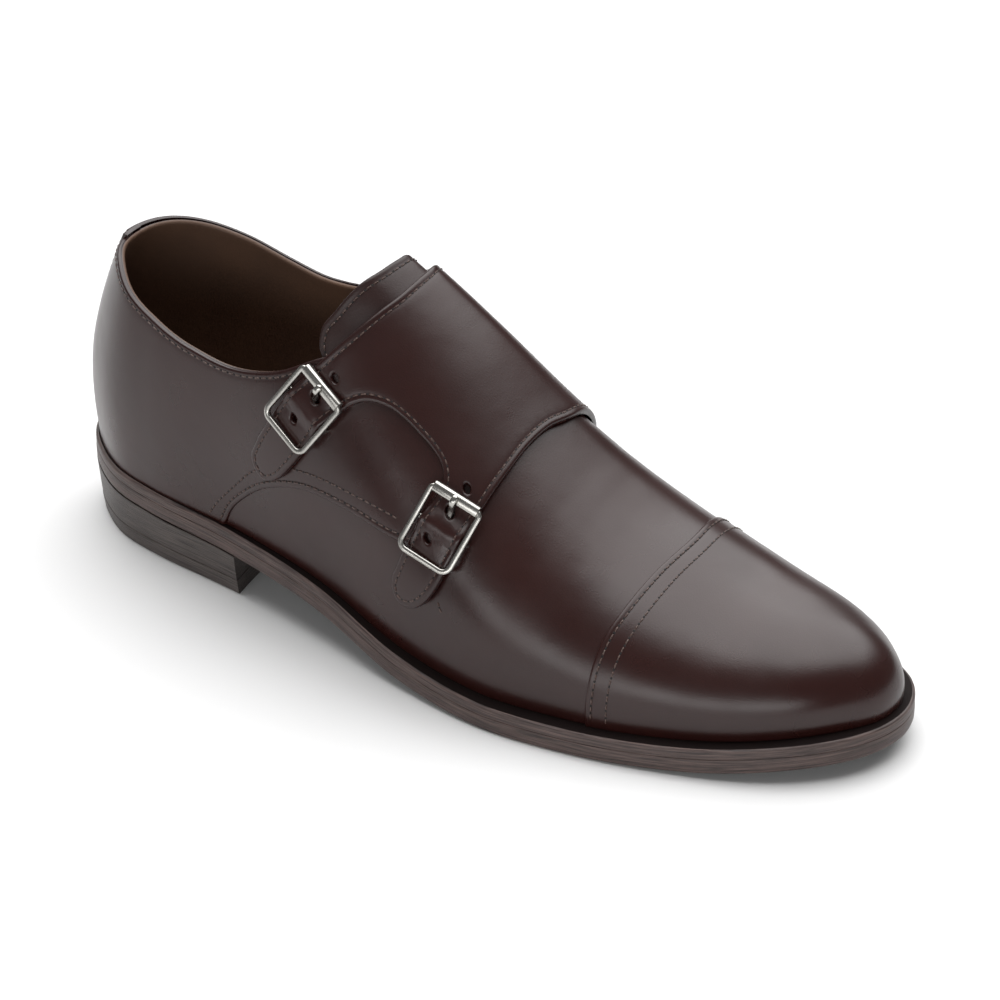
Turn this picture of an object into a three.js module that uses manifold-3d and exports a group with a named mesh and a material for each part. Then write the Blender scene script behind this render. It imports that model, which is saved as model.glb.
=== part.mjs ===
// Men's double monk strap shoe, right foot, standing empty on its sole. Millimetres, +Z up, +X to the toe,
// +Y to the inner (medial) side. Stations run along the shoe from the heel's back, x = 0, to the toe tip.
import * as THREE from "three";
import Module from "manifold-3d";
import { mergeVertices } from "three/addons/utils/BufferGeometryUtils.js";

// ---- driving dimensions ------------------------------------------------------------------------------
const LENGTH = 303; // outsole, heel back to toe tip
const GAP = 0.3; // clearance between touching pieces
const SHEET_GAP = 0.45; // clearance under the strap, which bends over the upper
const TONGUE_GAP = 1.4; // clearance over the tongue, inside the upper
const WALL = 2.2; // upper leather with its lining
const STRAP_THICK = 1.9; // strap leather, doubled and edge-stitched
const TONGUE_THICK = 1.8;
const OUTSOLE_THICK = 5.2;
const WELT_THICK = 3.6;
const INSOLE_THICK = 4;
const TOP_PIECE_THICK = 5.5; // wearing layer under the heel stack
const BREAST_X = 77; // front face of the heel
const BREAST_HOLLOW = 3; // how far that face curves in
const HEEL_TAPER = 2; // how much smaller the heel is at the floor, each side
const BUCKLE = { width: 20.4, length: 24, bar: 1.8, corner: 3.4, low: 3.2, pin: 1.3, roller: 3.2, bore: 1.9 };
const CENTRE_BAR = { thick: 1.6, height: 1.15, post: 1.8 }; // under the strap, height over the upper
// The prong runs from its root beside the centre bar to past the roller.
const PRONG = { thick: 1.7, root: 2.2, overhang: 1.4 };
const HOLE = { radius: 2.2, up: 3.8, depth: 12 }; // the prong comes through the strap there, up from the bar
const TAB = { width: 11, start: 4, length: 22, thick: 0.9 }; // holds the buckle, hidden under the strap
const THROAT_X = 157; // where the opening closes on the instep, under the straps

// ---- tables: a row for each section ------------------------------------------------------------------
// Outsole edge in plan.
const SOLE = [
  { x: 0, lateral: 2, medial: 2 },
  { x: 10, lateral: -17, medial: 21 },
  { x: 25, lateral: -26.5, medial: 29.5 },
  { x: 40, lateral: -30, medial: 32.5 },
  { x: 77, lateral: -34.5, medial: 30.5 },
  { x: 116, lateral: -42, medial: 27.5 },
  { x: 150, lateral: -49.5, medial: 32.5 },
  { x: 187, lateral: -54, medial: 43 },
  { x: 215, lateral: -51, medial: 48.5 },
  { x: 248, lateral: -42.5, medial: 45.5 },
  { x: 275, lateral: -31, medial: 38 },
  { x: 293, lateral: -16.5, medial: 28 },
  { x: LENGTH, lateral: 7, medial: 7 },
];
// How far the sole edge stands out past the upper's bottom edge, and the height of the sole's underside.
const EDGE = [
  { x: 0, lateral: 1.2, medial: 1.2, under: 20 },
  { x: 40, lateral: 1.6, medial: 1.6, under: 16.8 },
  { x: 77, lateral: 2.2, medial: 1.8, under: 15.3 },
  { x: 116, lateral: 3.2, medial: 2, under: 11.8 },
  { x: 150, lateral: 4.4, medial: 3, under: 3.4 },
  { x: 187, lateral: 5, medial: 4, under: 0 },
  { x: 218, lateral: 5, medial: 4.5, under: 0 },
  { x: 250, lateral: 5, medial: 4.8, under: 1.2 },
  { x: 280, lateral: 4.4, medial: 4.6, under: 4.6 },
  { x: LENGTH, lateral: 4, medial: 4, under: 6.6 },
];
// The last: ridge line over the foot (a virtual cone over the opening), and each wall's swell and fullness.
// swell is the wall's bulge past its bottom edge. A fullness of 1 is an ellipse, less boxier, more peaked.
const LAST = [
  { x: 0, ridgeY: 2, ridgeZ: 136, swellOut: 0.1, swellIn: 0.1, fullOut: 1, fullIn: 1 },
  { x: 60, ridgeY: 2, ridgeZ: 140, swellOut: 0.12, swellIn: 0.1, fullOut: 1, fullIn: 1 },
  { x: 100, ridgeY: 4, ridgeZ: 132, swellOut: 0.12, swellIn: 0.1, fullOut: 1.02, fullIn: 1.02 },
  { x: 125, ridgeY: 6, ridgeZ: 118.5, swellOut: 0.1, swellIn: 0.1, fullOut: 1.04, fullIn: 1.02 },
  { x: 150, ridgeY: 8, ridgeZ: 101.5, swellOut: 0.09, swellIn: 0.08, fullOut: 1.02, fullIn: 1 },
  { x: 180, ridgeY: 9.5, ridgeZ: 78, swellOut: 0.07, swellIn: 0.06, fullOut: 0.96, fullIn: 0.94 },
  { x: 215, ridgeY: 11, ridgeZ: 56, swellOut: 0.05, swellIn: 0.05, fullOut: 0.9, fullIn: 0.88 },
  { x: 250, ridgeY: 11, ridgeZ: 45.5, swellOut: 0.05, swellIn: 0.05, fullOut: 0.86, fullIn: 0.86 },
  { x: 280, ridgeY: 9.5, ridgeZ: 42.5, swellOut: 0.05, swellIn: 0.05, fullOut: 0.84, fullIn: 0.84 },
  { x: LENGTH, ridgeY: 7, ridgeZ: 41, swellOut: 0.05, swellIn: 0.05, fullOut: 0.84, fullIn: 0.84 },
];
// Back seam in side view: how far it stands forward of the feather's back end, by share of the ridge height.
const BACK_SEAM = [
  { v: 0, forward: 0 },
  { v: 0.12, forward: -1.4 },
  { v: 0.28, forward: -1 },
  { v: 0.43, forward: 2.6 },
  { v: 0.57, forward: 7.6 },
  { v: 0.66, forward: 11.5 },
  { v: 1, forward: 25 },
];
const BACK_REACH = 75; // how far forward the back seam's shape is felt
const TOE_DOME = 34; // how far the toe's front slopes back from feather to ridge
const TOE_BULGE = 2.5; // how far it first swells forward
const TOE_REACH = 78; // how far back the toe's front is felt
// Topline of the opening, each side, from the back seam to the throat.
const TOPLINE = [
  { x: 0, lateral: 98.5, medial: 98.5 },
  { x: 14, lateral: 97, medial: 98.5 },
  { x: 36, lateral: 90, medial: 94.5 },
  { x: 57, lateral: 85, medial: 90.5 },
  { x: 76, lateral: 84, medial: 89.5 },
  { x: 93, lateral: 88.5, medial: 93.5 },
  { x: 110, lateral: 97.5, medial: 104 },
  { x: 128, lateral: 101.5, medial: 106 },
  { x: 146, lateral: 99.5, medial: 101 },
  { x: THROAT_X, lateral: 96, medial: 96 },
];

// The strap piece lies over the instep and forks into two straps on the lateral side. Its edges are stations
// along the shoe, row by row down the wall: girth is measured from the ridge, lateral side positive.
const CAPE = [
  { girth: -60, rear: 157.5, front: 162 },
  { girth: -48, rear: 141, front: 167.5 },
  { girth: -33, rear: 122, front: 173.5 },
  { girth: -20, rear: 115.5, front: 177 },
  { girth: -8, rear: 123.5, front: 178.5 },
  { girth: 0, rear: 126.5, front: 179 },
  { girth: 14, rear: 124.8, front: 176.5 },
  { girth: 25.5, rear: 120.6, front: 175.5 },
  { girth: 37.5, rear: 114.7, front: 174.6 },
  { girth: 43.5, rear: 111.5, front: 173.7 },
];
const FORK_X = 143; // top of the arch between the straps, on the last row of the cape
const UPPER_STRAP = [
  { girth: 43.5, rear: 111.5, front: FORK_X },
  { girth: 45, rear: 110.7, front: 132.2 },
  { girth: 47.3, rear: 109.4, front: 128.3 },
  { girth: 51, rear: 107.4, front: 124.4 },
  { girth: 55.5, rear: 105, front: 121 },
  { girth: 63.5, rear: 100.5, front: 115.9 },
  { girth: 76, rear: 94.5, front: 110.1 },
  { girth: 85.5, rear: 90.2, front: 105.2 },
  { girth: 91.5, rear: 89, front: 101.2 },
  { girth: 94.5, rear: 90.6, front: 97.8 },
  { girth: 96, rear: 92.8, front: 95.4 },
];
const LOWER_STRAP = [
  { girth: 43.5, rear: FORK_X, front: 173.7 },
  { girth: 44.3, rear: 154, front: 173.5 },
  { girth: 46.3, rear: 159.2, front: 173.3 },
  { girth: 51, rear: 158.9, front: 172.9 },
  { girth: 60.5, rear: 156.9, front: 171.1 },
  { girth: 72, rear: 154.3, front: 168.7 },
  { girth: 82, rear: 152, front: 165.2 },
  { girth: 86.5, rear: 150.8, front: 162.6 },
  { girth: 90.5, rear: 150.8, front: 158.8 },
  { girth: 92.5, rear: 152.4, front: 155.6 },
];
// Where each buckle sits, and how far its strap runs back for each millimetre down.
const BUCKLES = [
  { name: "upper", x: 108.4, girth: 63.5, slant: 0.515 },
  { name: "lower", x: 164, girth: 60.5, slant: 0.215 },
];
// The tongue inside the opening: its top edge by girth, and its front end under the vamp.
const TONGUE = [
  { girth: -44, rear: 107, front: 170 },
  { girth: -38, rear: 105.5, front: 170 },
  { girth: -22, rear: 112, front: 170 },
  { girth: 0, rear: 118.5, front: 170 },
  { girth: 20, rear: 112, front: 170 },
  { girth: 34, rear: 106, front: 170 },
  { girth: 42, rear: 104, front: 170 },
  { girth: 47, rear: 106.5, front: 170 },
];

// ---- small tools -------------------------------------------------------------------------------------
const clamp = (value, low, high) => Math.min(high, Math.max(low, value));
// Angles spread the stations so that both ends are round.
const angleAt = (x) => Math.acos(clamp(1 - (2 * x) / LENGTH, -1, 1));
const stationAt = (u) => (LENGTH * (1 - Math.cos(u))) / 2;

// A smooth curve through a table's rows: column as a function of key, with no overshoot to speak of.
function curve(rows, key, column, spread = (k) => k) {
  const t = rows.map((row) => spread(row[key]));
  const y = rows.map((row) => row[column]);
  const slope = (i) => (y[i + 1] - y[i]) / (t[i + 1] - t[i]);
  const tangent = t.map((_, i) => {
    if (i === 0) return slope(0);
    if (i === t.length - 1) return slope(i - 1);
    const before = t[i] - t[i - 1];
    const after = t[i + 1] - t[i];
    return (slope(i - 1) * after + slope(i) * before) / (before + after);
  });
  return (value) => {
    const k = clamp(spread(value), t[0], t[t.length - 1]);
    const i = clamp(t.findIndex((knot) => knot >= k) - 1, 0, t.length - 2);
    const h = t[i + 1] - t[i];
    const s = (k - t[i]) / h;
    return (
      (2 * s ** 3 - 3 * s ** 2 + 1) * y[i] +
      (s ** 3 - 2 * s ** 2 + s) * h * tangent[i] +
      (3 * s ** 2 - 2 * s ** 3) * y[i + 1] +
      (s ** 3 - s ** 2) * h * tangent[i + 1]
    );
  };
}
const byStation = (rows, column) => curve(rows, "x", column, angleAt);

const soleEdge = { lateral: byStation(SOLE, "lateral"), medial: byStation(SOLE, "medial") };
const margin = { lateral: byStation(EDGE, "lateral"), medial: byStation(EDGE, "medial") };
const underCurve = byStation(EDGE, "under");
const under = (x) => Math.max(0, underCurve(x));
const ridgeY = byStation(LAST, "ridgeY");
const ridgeZ = byStation(LAST, "ridgeZ");
const swell = { lateral: byStation(LAST, "swellOut"), medial: byStation(LAST, "swellIn") };
const fullness = { lateral: byStation(LAST, "fullOut"), medial: byStation(LAST, "fullIn") };
const topline = { lateral: byStation(TOPLINE, "lateral"), medial: byStation(TOPLINE, "medial") };
const backSeam = curve(BACK_SEAM, "v", "forward");
const FEATHER_CLEARANCE = 0.84; // two gaps between the sole's layers, and a little for the sole's slope
const featherZ = (x) => under(x) + OUTSOLE_THICK + WELT_THICK + FEATHER_CLEARANCE;

// ---- the last ----------------------------------------------------------------------------------------
// The upper's bottom edge: the sole edge drawn in by the margin, scaled along the shoe to keep the ends in.
const END_MARGIN = { heel: 1.4, toe: 3.6 };
const FEATHER_SCALE = (LENGTH - END_MARGIN.heel - END_MARGIN.toe) / LENGTH;
const drawnIn = (x) => END_MARGIN.heel + x * FEATHER_SCALE;
const END_FADE = 0.35; // the margin fades in from the ends, which are drawn in already
function featherY(side, x) {
  const sign = side === "lateral" ? -1 : 1;
  const round = Math.min(1, Math.sin(angleAt(x)) / END_FADE);
  const share = round * round * (3 - 2 * round);
  return soleEdge[side](x) - sign * margin[side](x) * share;
}

// A point of the last's surface: u along the shoe from 0 at the back seam to PI at the toe tip, and rise from
// 0 at the bottom edge to PI / 2 at the ridge.
function lastPoint(side, u, rise) {
  const x = stationAt(u);
  const v = Math.sin(rise);
  const back = Math.max(0, 1 - x / BACK_REACH) ** 2;
  const toe = Math.max(0, 1 - (LENGTH - x) / TOE_REACH) ** 1.5;
  const dome = TOE_DOME * (1 - Math.cos(rise)) - TOE_BULGE * Math.sin(2 * rise);
  const width = featherY(side, x) - ridgeY(x);
  const bulge = 1 + swell[side](x) * 4 * v * (1 - v);
  const z = featherZ(x) + (ridgeZ(x) - featherZ(x)) * v;
  const y = ridgeY(x) + width * bulge * Math.cos(rise) ** fullness[side](x);
  return new THREE.Vector3(drawnIn(x) + back * backSeam(v) - toe * dome, y, z);
}

const STEP = 1e-3; // of an angle, for slopes
const SAME_ANGLE = 1e-6;
function lastNormal(side, u, rise) {
  const u0 = clamp(u, STEP, Math.PI - STEP);
  const r0 = clamp(rise, STEP, Math.PI / 2 - 3 * STEP);
  const along = lastPoint(side, u0 + STEP, r0).sub(lastPoint(side, u0 - STEP, r0));
  const up = lastPoint(side, u0, r0 + STEP).sub(lastPoint(side, u0, r0 - STEP));
  const normal = side === "lateral" ? along.cross(up) : up.cross(along);
  return normal.normalize();
}
// The normal in the middle plane, square to the centre line of the back seam or the toe.
function seamNormal(u, rise) {
  const r0 = clamp(rise, STEP, Math.PI / 2 - STEP);
  const up = lastPoint("lateral", u, r0 + STEP).sub(lastPoint("lateral", u, r0 - STEP));
  return new THREE.Vector3(up.z, 0, -up.x).multiplyScalar(u < 1 ? -1 : 1).normalize();
}
// A point at a height over the last's surface, negative inside.
function offsetPoint(side, u, rise, lift) {
  const onSeam = u < SAME_ANGLE || u > Math.PI - SAME_ANGLE;
  const normal = onSeam ? seamNormal(u, rise) : lastNormal(side, u, rise);
  if (rise > Math.PI / 2 - SAME_ANGLE) normal.setY(0).normalize();
  return lastPoint(side, u, rise).addScaledVector(normal, lift);
}
// The rise at which the wall reaches a height.
const riseAtHeight = (x, z) => Math.asin(clamp((z - featherZ(x)) / (ridgeZ(x) - featherZ(x)), 0, 1));

// A point by girth: the arc down the wall from the ridge at a station, lateral side positive.
const GIRTH_STEPS = 60;
const walls = new Map();
function wallArc(side, x) {
  const key = `${side}${x}`;
  if (!walls.has(key)) {
    const u = angleAt(x);
    const rises = evenly(Math.PI / 2, 0, GIRTH_STEPS);
    const arcs = [0];
    for (let i = 1; i <= GIRTH_STEPS; i++) {
      const step = lastPoint(side, u, rises[i]).distanceTo(lastPoint(side, u, rises[i - 1]));
      arcs.push(arcs[i - 1] + step);
    }
    walls.set(key, { rises, arcs });
  }
  return walls.get(key);
}
function overLast(x, girth, lift) {
  const side = girth >= 0 ? "lateral" : "medial";
  const { rises, arcs } = wallArc(side, x);
  const arc = Math.min(Math.abs(girth), arcs[GIRTH_STEPS]);
  const i = clamp(arcs.findIndex((a) => a >= arc) - 1, 0, GIRTH_STEPS - 1);
  const share = (arc - arcs[i]) / (arcs[i + 1] - arcs[i]);
  return offsetPoint(side, angleAt(x), rises[i] + share * (rises[i + 1] - rises[i]), lift);
}

// ---- meshes ------------------------------------------------------------------------------------------
// A closed body from faces given as rings of points; points that coincide are merged.
function bodyFrom(triangles) {
  const positions = new Float32Array(triangles.length * 9);
  triangles.flat().forEach((p, i) => positions.set([p.x, p.y, p.z], i * 3));
  const geometry = new THREE.BufferGeometry();
  geometry.setAttribute("position", new THREE.BufferAttribute(positions, 3));
  const merged = mergeVertices(geometry, 1e-3);
  const index = Array.from(merged.index.array);
  const kept = [];
  for (let i = 0; i < index.length; i += 3) {
    const [a, b, c] = index.slice(i, i + 3);
    if (a !== b && b !== c && c !== a) kept.push(a, b, c);
  }
  merged.setIndex(kept);
  merged.computeVertexNormals();
  return merged;
}

// A closed sheet from quads of corners, each { id, outer, inner }: two faces, and a wall along every free edge.
function shell(quads) {
  const faces = quads.flatMap(([a, b, c, d]) => [[a, b, c], [a, c, d]]);
  const whole = faces.filter(([a, b, c]) => a.id !== b.id && b.id !== c.id && c.id !== a.id);
  const free = new Map();
  for (const face of whole) {
    face.forEach((p, i) => {
      const q = face[(i + 1) % 3];
      if (!free.delete(`${q.id}|${p.id}`)) free.set(`${p.id}|${q.id}`, [p, q]);
    });
  }
  const triangles = whole.map((face) => face.map((corner) => corner.outer));
  for (const [a, b, c] of whole) triangles.push([a.inner, c.inner, b.inner]);
  for (const [p, q] of free.values()) {
    triangles.push([q.outer, p.outer, p.inner], [q.outer, p.inner, q.inner]);
  }
  return bodyFrom(triangles);
}
// The quads between neighbouring rows of corners.
function quadsBetween(rows) {
  const quads = [];
  for (let i = 0; i + 1 < rows.length; i++) {
    for (let j = 0; j + 1 < rows[i].length; j++) {
      quads.push([rows[i][j], rows[i + 1][j], rows[i + 1][j + 1], rows[i][j + 1]]);
    }
  }
  return quads;
}
const evenly = (from, to, count) =>
  Array.from({ length: count + 1 }, (_, i) => from + ((to - from) * i) / count);

// ---- upper: vamp, toe and quarters in one hollow wall ------------------------------------------------
const WALL_ROWS = 11; // quads from the bottom edge to the ridge or topline
const OPENING_STATIONS = 20;
const VAMP_STATIONS = 22;
const THROAT_CROWDING = 1.6; // over 1 puts more stations near the throat, where the edge turns
function upper() {
  const throat = angleAt(THROAT_X);
  const opening = evenly(0, 1, OPENING_STATIONS).map((t) => throat * (1 - (1 - t) ** THROAT_CROWDING));
  const stations = [...opening, ...evenly(throat, Math.PI, VAMP_STATIONS).slice(1)];
  const quads = [];
  for (const side of ["lateral", "medial"]) {
    const rows = stations.map((u, i) => {
      const x = stationAt(u);
      const open = i < OPENING_STATIONS;
      const top = open ? riseAtHeight(x, topline[side](x)) : Math.PI / 2;
      return evenly(0, top, WALL_ROWS).map((rise, j) => {
        const seam = i === 0 || i === stations.length - 1 || (!open && j === WALL_ROWS);
        const from = seam ? "lateral" : side;
        return {
          id: `${from}${i}_${j}`,
          outer: offsetPoint(from, u, rise, 0),
          inner: offsetPoint(from, u, rise, -WALL),
        };
      });
    });
    const made = quadsBetween(rows);
    quads.push(...(side === "lateral" ? made : made.map(([a, b, c, d]) => [d, c, b, a])));
  }
  return shell(quads);
}

// ---- pieces that lie flat under the upper ------------------------------------------------------------
// A corner of a plan outline drawn in by a distance square to itself.
function drawnOutline(outline, side, u, inset) {
  const before = outline(side, clamp(u - STEP, 0, Math.PI));
  const after = outline(side, clamp(u + STEP, 0, Math.PI));
  const along = after.sub(before).setZ(0).normalize();
  const sign = side === "lateral" ? 1 : -1;
  const inward = new THREE.Vector3(-along.y * sign, along.x * sign, 0);
  if (u < SAME_ANGLE || u > Math.PI - SAME_ANGLE) inward.y = 0;
  return outline(side, u).addScaledVector(inward.normalize(), inset);
}
const soleOutline = (side, u) => new THREE.Vector3(stationAt(u), soleEdge[side](stationAt(u)), 0);
const featherOutline = (side, u) => lastPoint(side, u, 0);

// A plate between two heights, from station angle 0 to end, across from the lateral to the medial edge.
// inset(share) is how far the edge is drawn in, with share 0 underneath and 1 on top. bend moves points along X.
function plate({ outline, inset, top, bottom, end = Math.PI, stations = 40, columns = 6, bend = () => 0 }) {
  const corner = (u, i, j) => {
    const t = j / columns;
    const at = (share) => {
      const a = drawnOutline(outline, "lateral", u, inset(share));
      const b = drawnOutline(outline, "medial", u, inset(share));
      const p = a.lerp(b, t);
      p.x += bend(p.x, 2 * t - 1);
      return p.setZ(share ? top(p.x) : bottom(p.x));
    };
    const joined = i === 0 || u > Math.PI - SAME_ANGLE;
    return { id: joined ? `end${i}` : `${i}_${j}`, outer: at(1), inner: at(0) };
  };
  const rows = evenly(0, end, stations).map((u, i) =>
    Array.from({ length: columns + 1 }, (_, j) => corner(u, i, j)),
  );
  return shell(quadsBetween(rows));
}
const outsole = () =>
  plate({
    outline: soleOutline,
    inset: () => 0,
    top: (x) => under(x) + OUTSOLE_THICK,
    bottom: under,
  });
const WELT_UNDERLAP = 1.5; // how far the welt reaches in past the upper's wall
const insole = () =>
  plate({
    outline: featherOutline,
    inset: () => WALL + WELT_UNDERLAP + GAP,
    columns: 4,
    top: (x) => under(x) + OUTSOLE_THICK + GAP + INSOLE_THICK,
    bottom: (x) => under(x) + OUTSOLE_THICK + GAP,
  });
const HEEL_STATIONS = 14;
const HEEL_INSET = 0.4; // the heel stands in a little from the outsole's edge
const hollow = (x, t) => -BREAST_HOLLOW * (1 - t * t) * clamp(x / BREAST_X, 0, 1) ** 6;
const heelInset = (z) => HEEL_INSET + HEEL_TAPER * (1 - z / under(BREAST_X / 2));
const heelStack = () =>
  plate({
    outline: soleOutline,
    inset: (share) => (share ? HEEL_INSET : heelInset(TOP_PIECE_THICK)),
    top: (x) => under(x) - GAP,
    bottom: () => TOP_PIECE_THICK + GAP,
    end: angleAt(BREAST_X),
    stations: HEEL_STATIONS,
    bend: hollow,
  });
const topPiece = () =>
  plate({
    outline: soleOutline,
    inset: (share) => heelInset(share ? TOP_PIECE_THICK : 0),
    top: () => TOP_PIECE_THICK,
    bottom: () => 0,
    end: angleAt(BREAST_X),
    stations: HEEL_STATIONS,
    bend: hollow,
  });

// Welt: a ring on the outsole, from its edge to just inside the upper's wall.
const SOLE_STATIONS = 40;
function welt() {
  const loop = [
    ...evenly(0, Math.PI, SOLE_STATIONS).map((u) => ["lateral", u]),
    ...evenly(Math.PI, 0, SOLE_STATIONS).slice(1, -1).map((u) => ["medial", u]),
  ];
  const rows = loop.map(([side, u], i) => {
    const out = drawnOutline(soleOutline, side, u, 0);
    const inn = drawnOutline(featherOutline, side, u, WALL + WELT_UNDERLAP);
    return [out, inn].map((p, j) => {
      const low = under(p.x) + OUTSOLE_THICK + GAP;
      return { id: `${i}_${j}`, outer: p.clone().setZ(low + WELT_THICK), inner: p.clone().setZ(low) };
    });
  });
  return shell(quadsBetween([...rows, rows[0]]));
}

// ---- strap piece, tongue and tabs: sheets laid over or under the last --------------------------------
// Rows of corners across a sheet, from a table with girth, rear and front; lift is the underside's height.
function sheetRows(name, table, girths, columns, thick, lift) {
  const rear = curve(table, "girth", "rear");
  const front = curve(table, "girth", "front");
  return girths.map((girth, i) =>
    evenly(rear(girth), front(girth), columns).map((x, j) => ({
      id: `${name}${i}_${j}`,
      outer: overLast(x, girth, lift(x, girth) + thick),
      inner: overLast(x, girth, lift(x, girth)),
    })),
  );
}
const girthsOf = (table) => table.map((row) => row.girth);
const between = (values) =>
  values.flatMap((a, i) => (i + 1 < values.length ? [a, (a + values[i + 1]) / 2] : [a]));

const CAPE_COLUMNS = 12;
const FORK_COLUMN = 6; // the cape's last row splits here
const STRAP_ROW = 3.6; // spacing of a strap's rows down its length
const BAR_BUMP = { height: 2.1, reach: 4.5 }; // how the strap climbs over the buckle's bar
// The strap's underside climbs over the buckle's bar, and over the tab from there to its end.
function strapLift(buckle) {
  const local = buckleAxes(buckle).invert();
  const onTab = TAB.thick + GAP / 2;
  return (x, girth) => {
    const down = -overLast(x, girth, 0).applyMatrix4(local).y;
    const bump = BAR_BUMP.height * Math.exp(-((down / BAR_BUMP.reach) ** 2));
    return SHEET_GAP + Math.max(bump, onTab * clamp(down / TAB.start, 0, 1));
  };
}
const ARCH_ROWS = 4; // the arch's rows and the tip's rows stay where the strap's table has them
const TIP_ROWS = 3;
function strapSheet() {
  const flat = () => SHEET_GAP;
  const cape = sheetRows("cape", CAPE, between(girthsOf(CAPE)), CAPE_COLUMNS, STRAP_THICK, flat);
  const last = cape[cape.length - 1];
  const { girth, rear, front } = CAPE[CAPE.length - 1];
  const forked = [
    ...evenly(rear, FORK_X, FORK_COLUMN),
    ...evenly(FORK_X, front, CAPE_COLUMNS - FORK_COLUMN).slice(1),
  ];
  forked.forEach((x, j) => {
    last[j].outer = overLast(x, girth, SHEET_GAP + STRAP_THICK);
    last[j].inner = overLast(x, girth, SHEET_GAP);
  });
  const straps = [
    [UPPER_STRAP, last.slice(0, FORK_COLUMN + 1)],
    [LOWER_STRAP, last.slice(FORK_COLUMN)],
  ].map(([table, first], k) => {
    const girths = girthsOf(table);
    const arch = girths.slice(0, ARCH_ROWS);
    const tip = girths.slice(-TIP_ROWS);
    const [from, to] = [arch[ARCH_ROWS - 1], tip[0]];
    const middle = evenly(from, to, Math.round((to - from) / STRAP_ROW)).slice(1, -1);
    const all = [...arch, ...middle, ...tip];
    const rows = sheetRows(`strap${k}_`, table, all, FORK_COLUMN, STRAP_THICK, strapLift(BUCKLES[k]));
    return [first, ...rows.slice(1)];
  });
  return shell([cape, ...straps].flatMap((rows) => quadsBetween(rows)));
}
const TONGUE_LIFT = -(WALL + TONGUE_GAP + TONGUE_THICK);
const TONGUE_COLUMNS = 10;
function tongue() {
  const girths = between(girthsOf(TONGUE));
  const rows = sheetRows("tongue", TONGUE, girths, TONGUE_COLUMNS, TONGUE_THICK, () => TONGUE_LIFT);
  return shell(quadsBetween(rows));
}

// ---- buckles -----------------------------------------------------------------------------------------
const AXIS_REACH = 2; // how far round a buckle's middle its axes are taken from
// Axes at a buckle: X across the strap, Y up the strap towards the instep, Z out from the upper.
function buckleAxes({ x, girth, slant }) {
  const above = overLast(x + slant * AXIS_REACH, girth - AXIS_REACH, 0);
  const below = overLast(x - slant * AXIS_REACH, girth + AXIS_REACH, 0);
  const ahead = overLast(x + AXIS_REACH, girth, 0);
  const origin = overLast(x, girth, 0);
  const up = above.sub(below).normalize();
  const out = ahead.sub(origin).cross(up).normalize();
  const across = up.clone().cross(out);
  return new THREE.Matrix4().makeBasis(across, up, out).setPosition(origin);
}

// Solids for cutting and joining.
const SAME_PLACE = 1e-4;
const wasm = await Module();
wasm.setup();
function solidOf(geometry) {
  const bare = geometry.index ? geometry.clone() : mergeVertices(geometry, SAME_PLACE);
  bare.deleteAttribute("normal");
  bare.deleteAttribute("uv");
  const merged = mergeVertices(bare, SAME_PLACE);
  return new wasm.Manifold(
    new wasm.Mesh({
      numProp: 3,
      vertProperties: new Float32Array(merged.attributes.position.array),
      triVerts: new Uint32Array(merged.index.array),
    }),
  );
}
function geometryOf(solid) {
  const { vertProperties, triVerts } = solid.getMesh();
  const geometry = new THREE.BufferGeometry();
  geometry.setAttribute("position", new THREE.BufferAttribute(new Float32Array(vertProperties), 3));
  geometry.setIndex(Array.from(triVerts));
  geometry.computeVertexNormals();
  return geometry;
}

const END_Y = BUCKLE.length / 2 - BUCKLE.bar / 2; // centre line of an end bar
// A U of flat bar, rounded at its closed lower corners, open at the roller's end.
function frameShape() {
  const w = BUCKLE.width / 2;
  const h = BUCKLE.length / 2;
  const r = BUCKLE.corner;
  const inner = w - BUCKLE.bar;
  const ri = r - BUCKLE.bar;
  const shape = new THREE.Shape();
  shape.moveTo(w, h);
  shape.lineTo(inner, h);
  shape.lineTo(inner, -h + BUCKLE.bar + ri);
  shape.absarc(inner - ri, -h + BUCKLE.bar + ri, ri, 0, -Math.PI / 2, true);
  shape.lineTo(-inner + ri, -h + BUCKLE.bar);
  shape.absarc(-inner + ri, -h + BUCKLE.bar + ri, ri, -Math.PI / 2, -Math.PI, true);
  shape.lineTo(-inner, h);
  shape.lineTo(-w, h);
  shape.lineTo(-w, -h + r);
  shape.absarc(-w + r, -h + r, r, Math.PI, 1.5 * Math.PI, false);
  shape.lineTo(w - r, -h);
  shape.absarc(w - r, -h + r, r, -Math.PI / 2, 0, false);
  shape.closePath();
  return shape;
}
const BAR_SIDES = 10;
// A round bar across the buckle at a place along it and a height.
function crossBar(radius, length, y, z) {
  const bar = new THREE.CylinderGeometry(radius, radius, length, BAR_SIDES);
  return bar.rotateZ(Math.PI / 2).translate(0, y, z);
}
function buckleFrame() {
  const flat = new THREE.ExtrudeGeometry(frameShape(), {
    depth: BUCKLE.bar,
    bevelEnabled: false,
    curveSegments: 4,
  }).translate(0, 0, BUCKLE.low);
  const arm = BUCKLE.width / 2 - BUCKLE.bar / 2;
  const bars = [
    crossBar(BUCKLE.pin / 2, 2 * arm, END_Y, BUCKLE.low + BUCKLE.bar / 2),
    crossBar(CENTRE_BAR.thick / 2, 2 * arm, 0, CENTRE_BAR.height),
  ];
  const rise = BUCKLE.low + BUCKLE.bar / 2 - CENTRE_BAR.height;
  const radius = CENTRE_BAR.post / 2;
  const posts = [-arm, arm].map((x) =>
    new THREE.CylinderGeometry(radius, radius, rise + 2 * GAP, BAR_SIDES)
      .rotateX(Math.PI / 2)
      .translate(x, 0, CENTRE_BAR.height + rise / 2),
  );
  return geometryOf([...bars, ...posts].reduce((solid, part) => solid.add(solidOf(part)), solidOf(flat)));
}
const ROUND_SIDES = 12;
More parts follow.
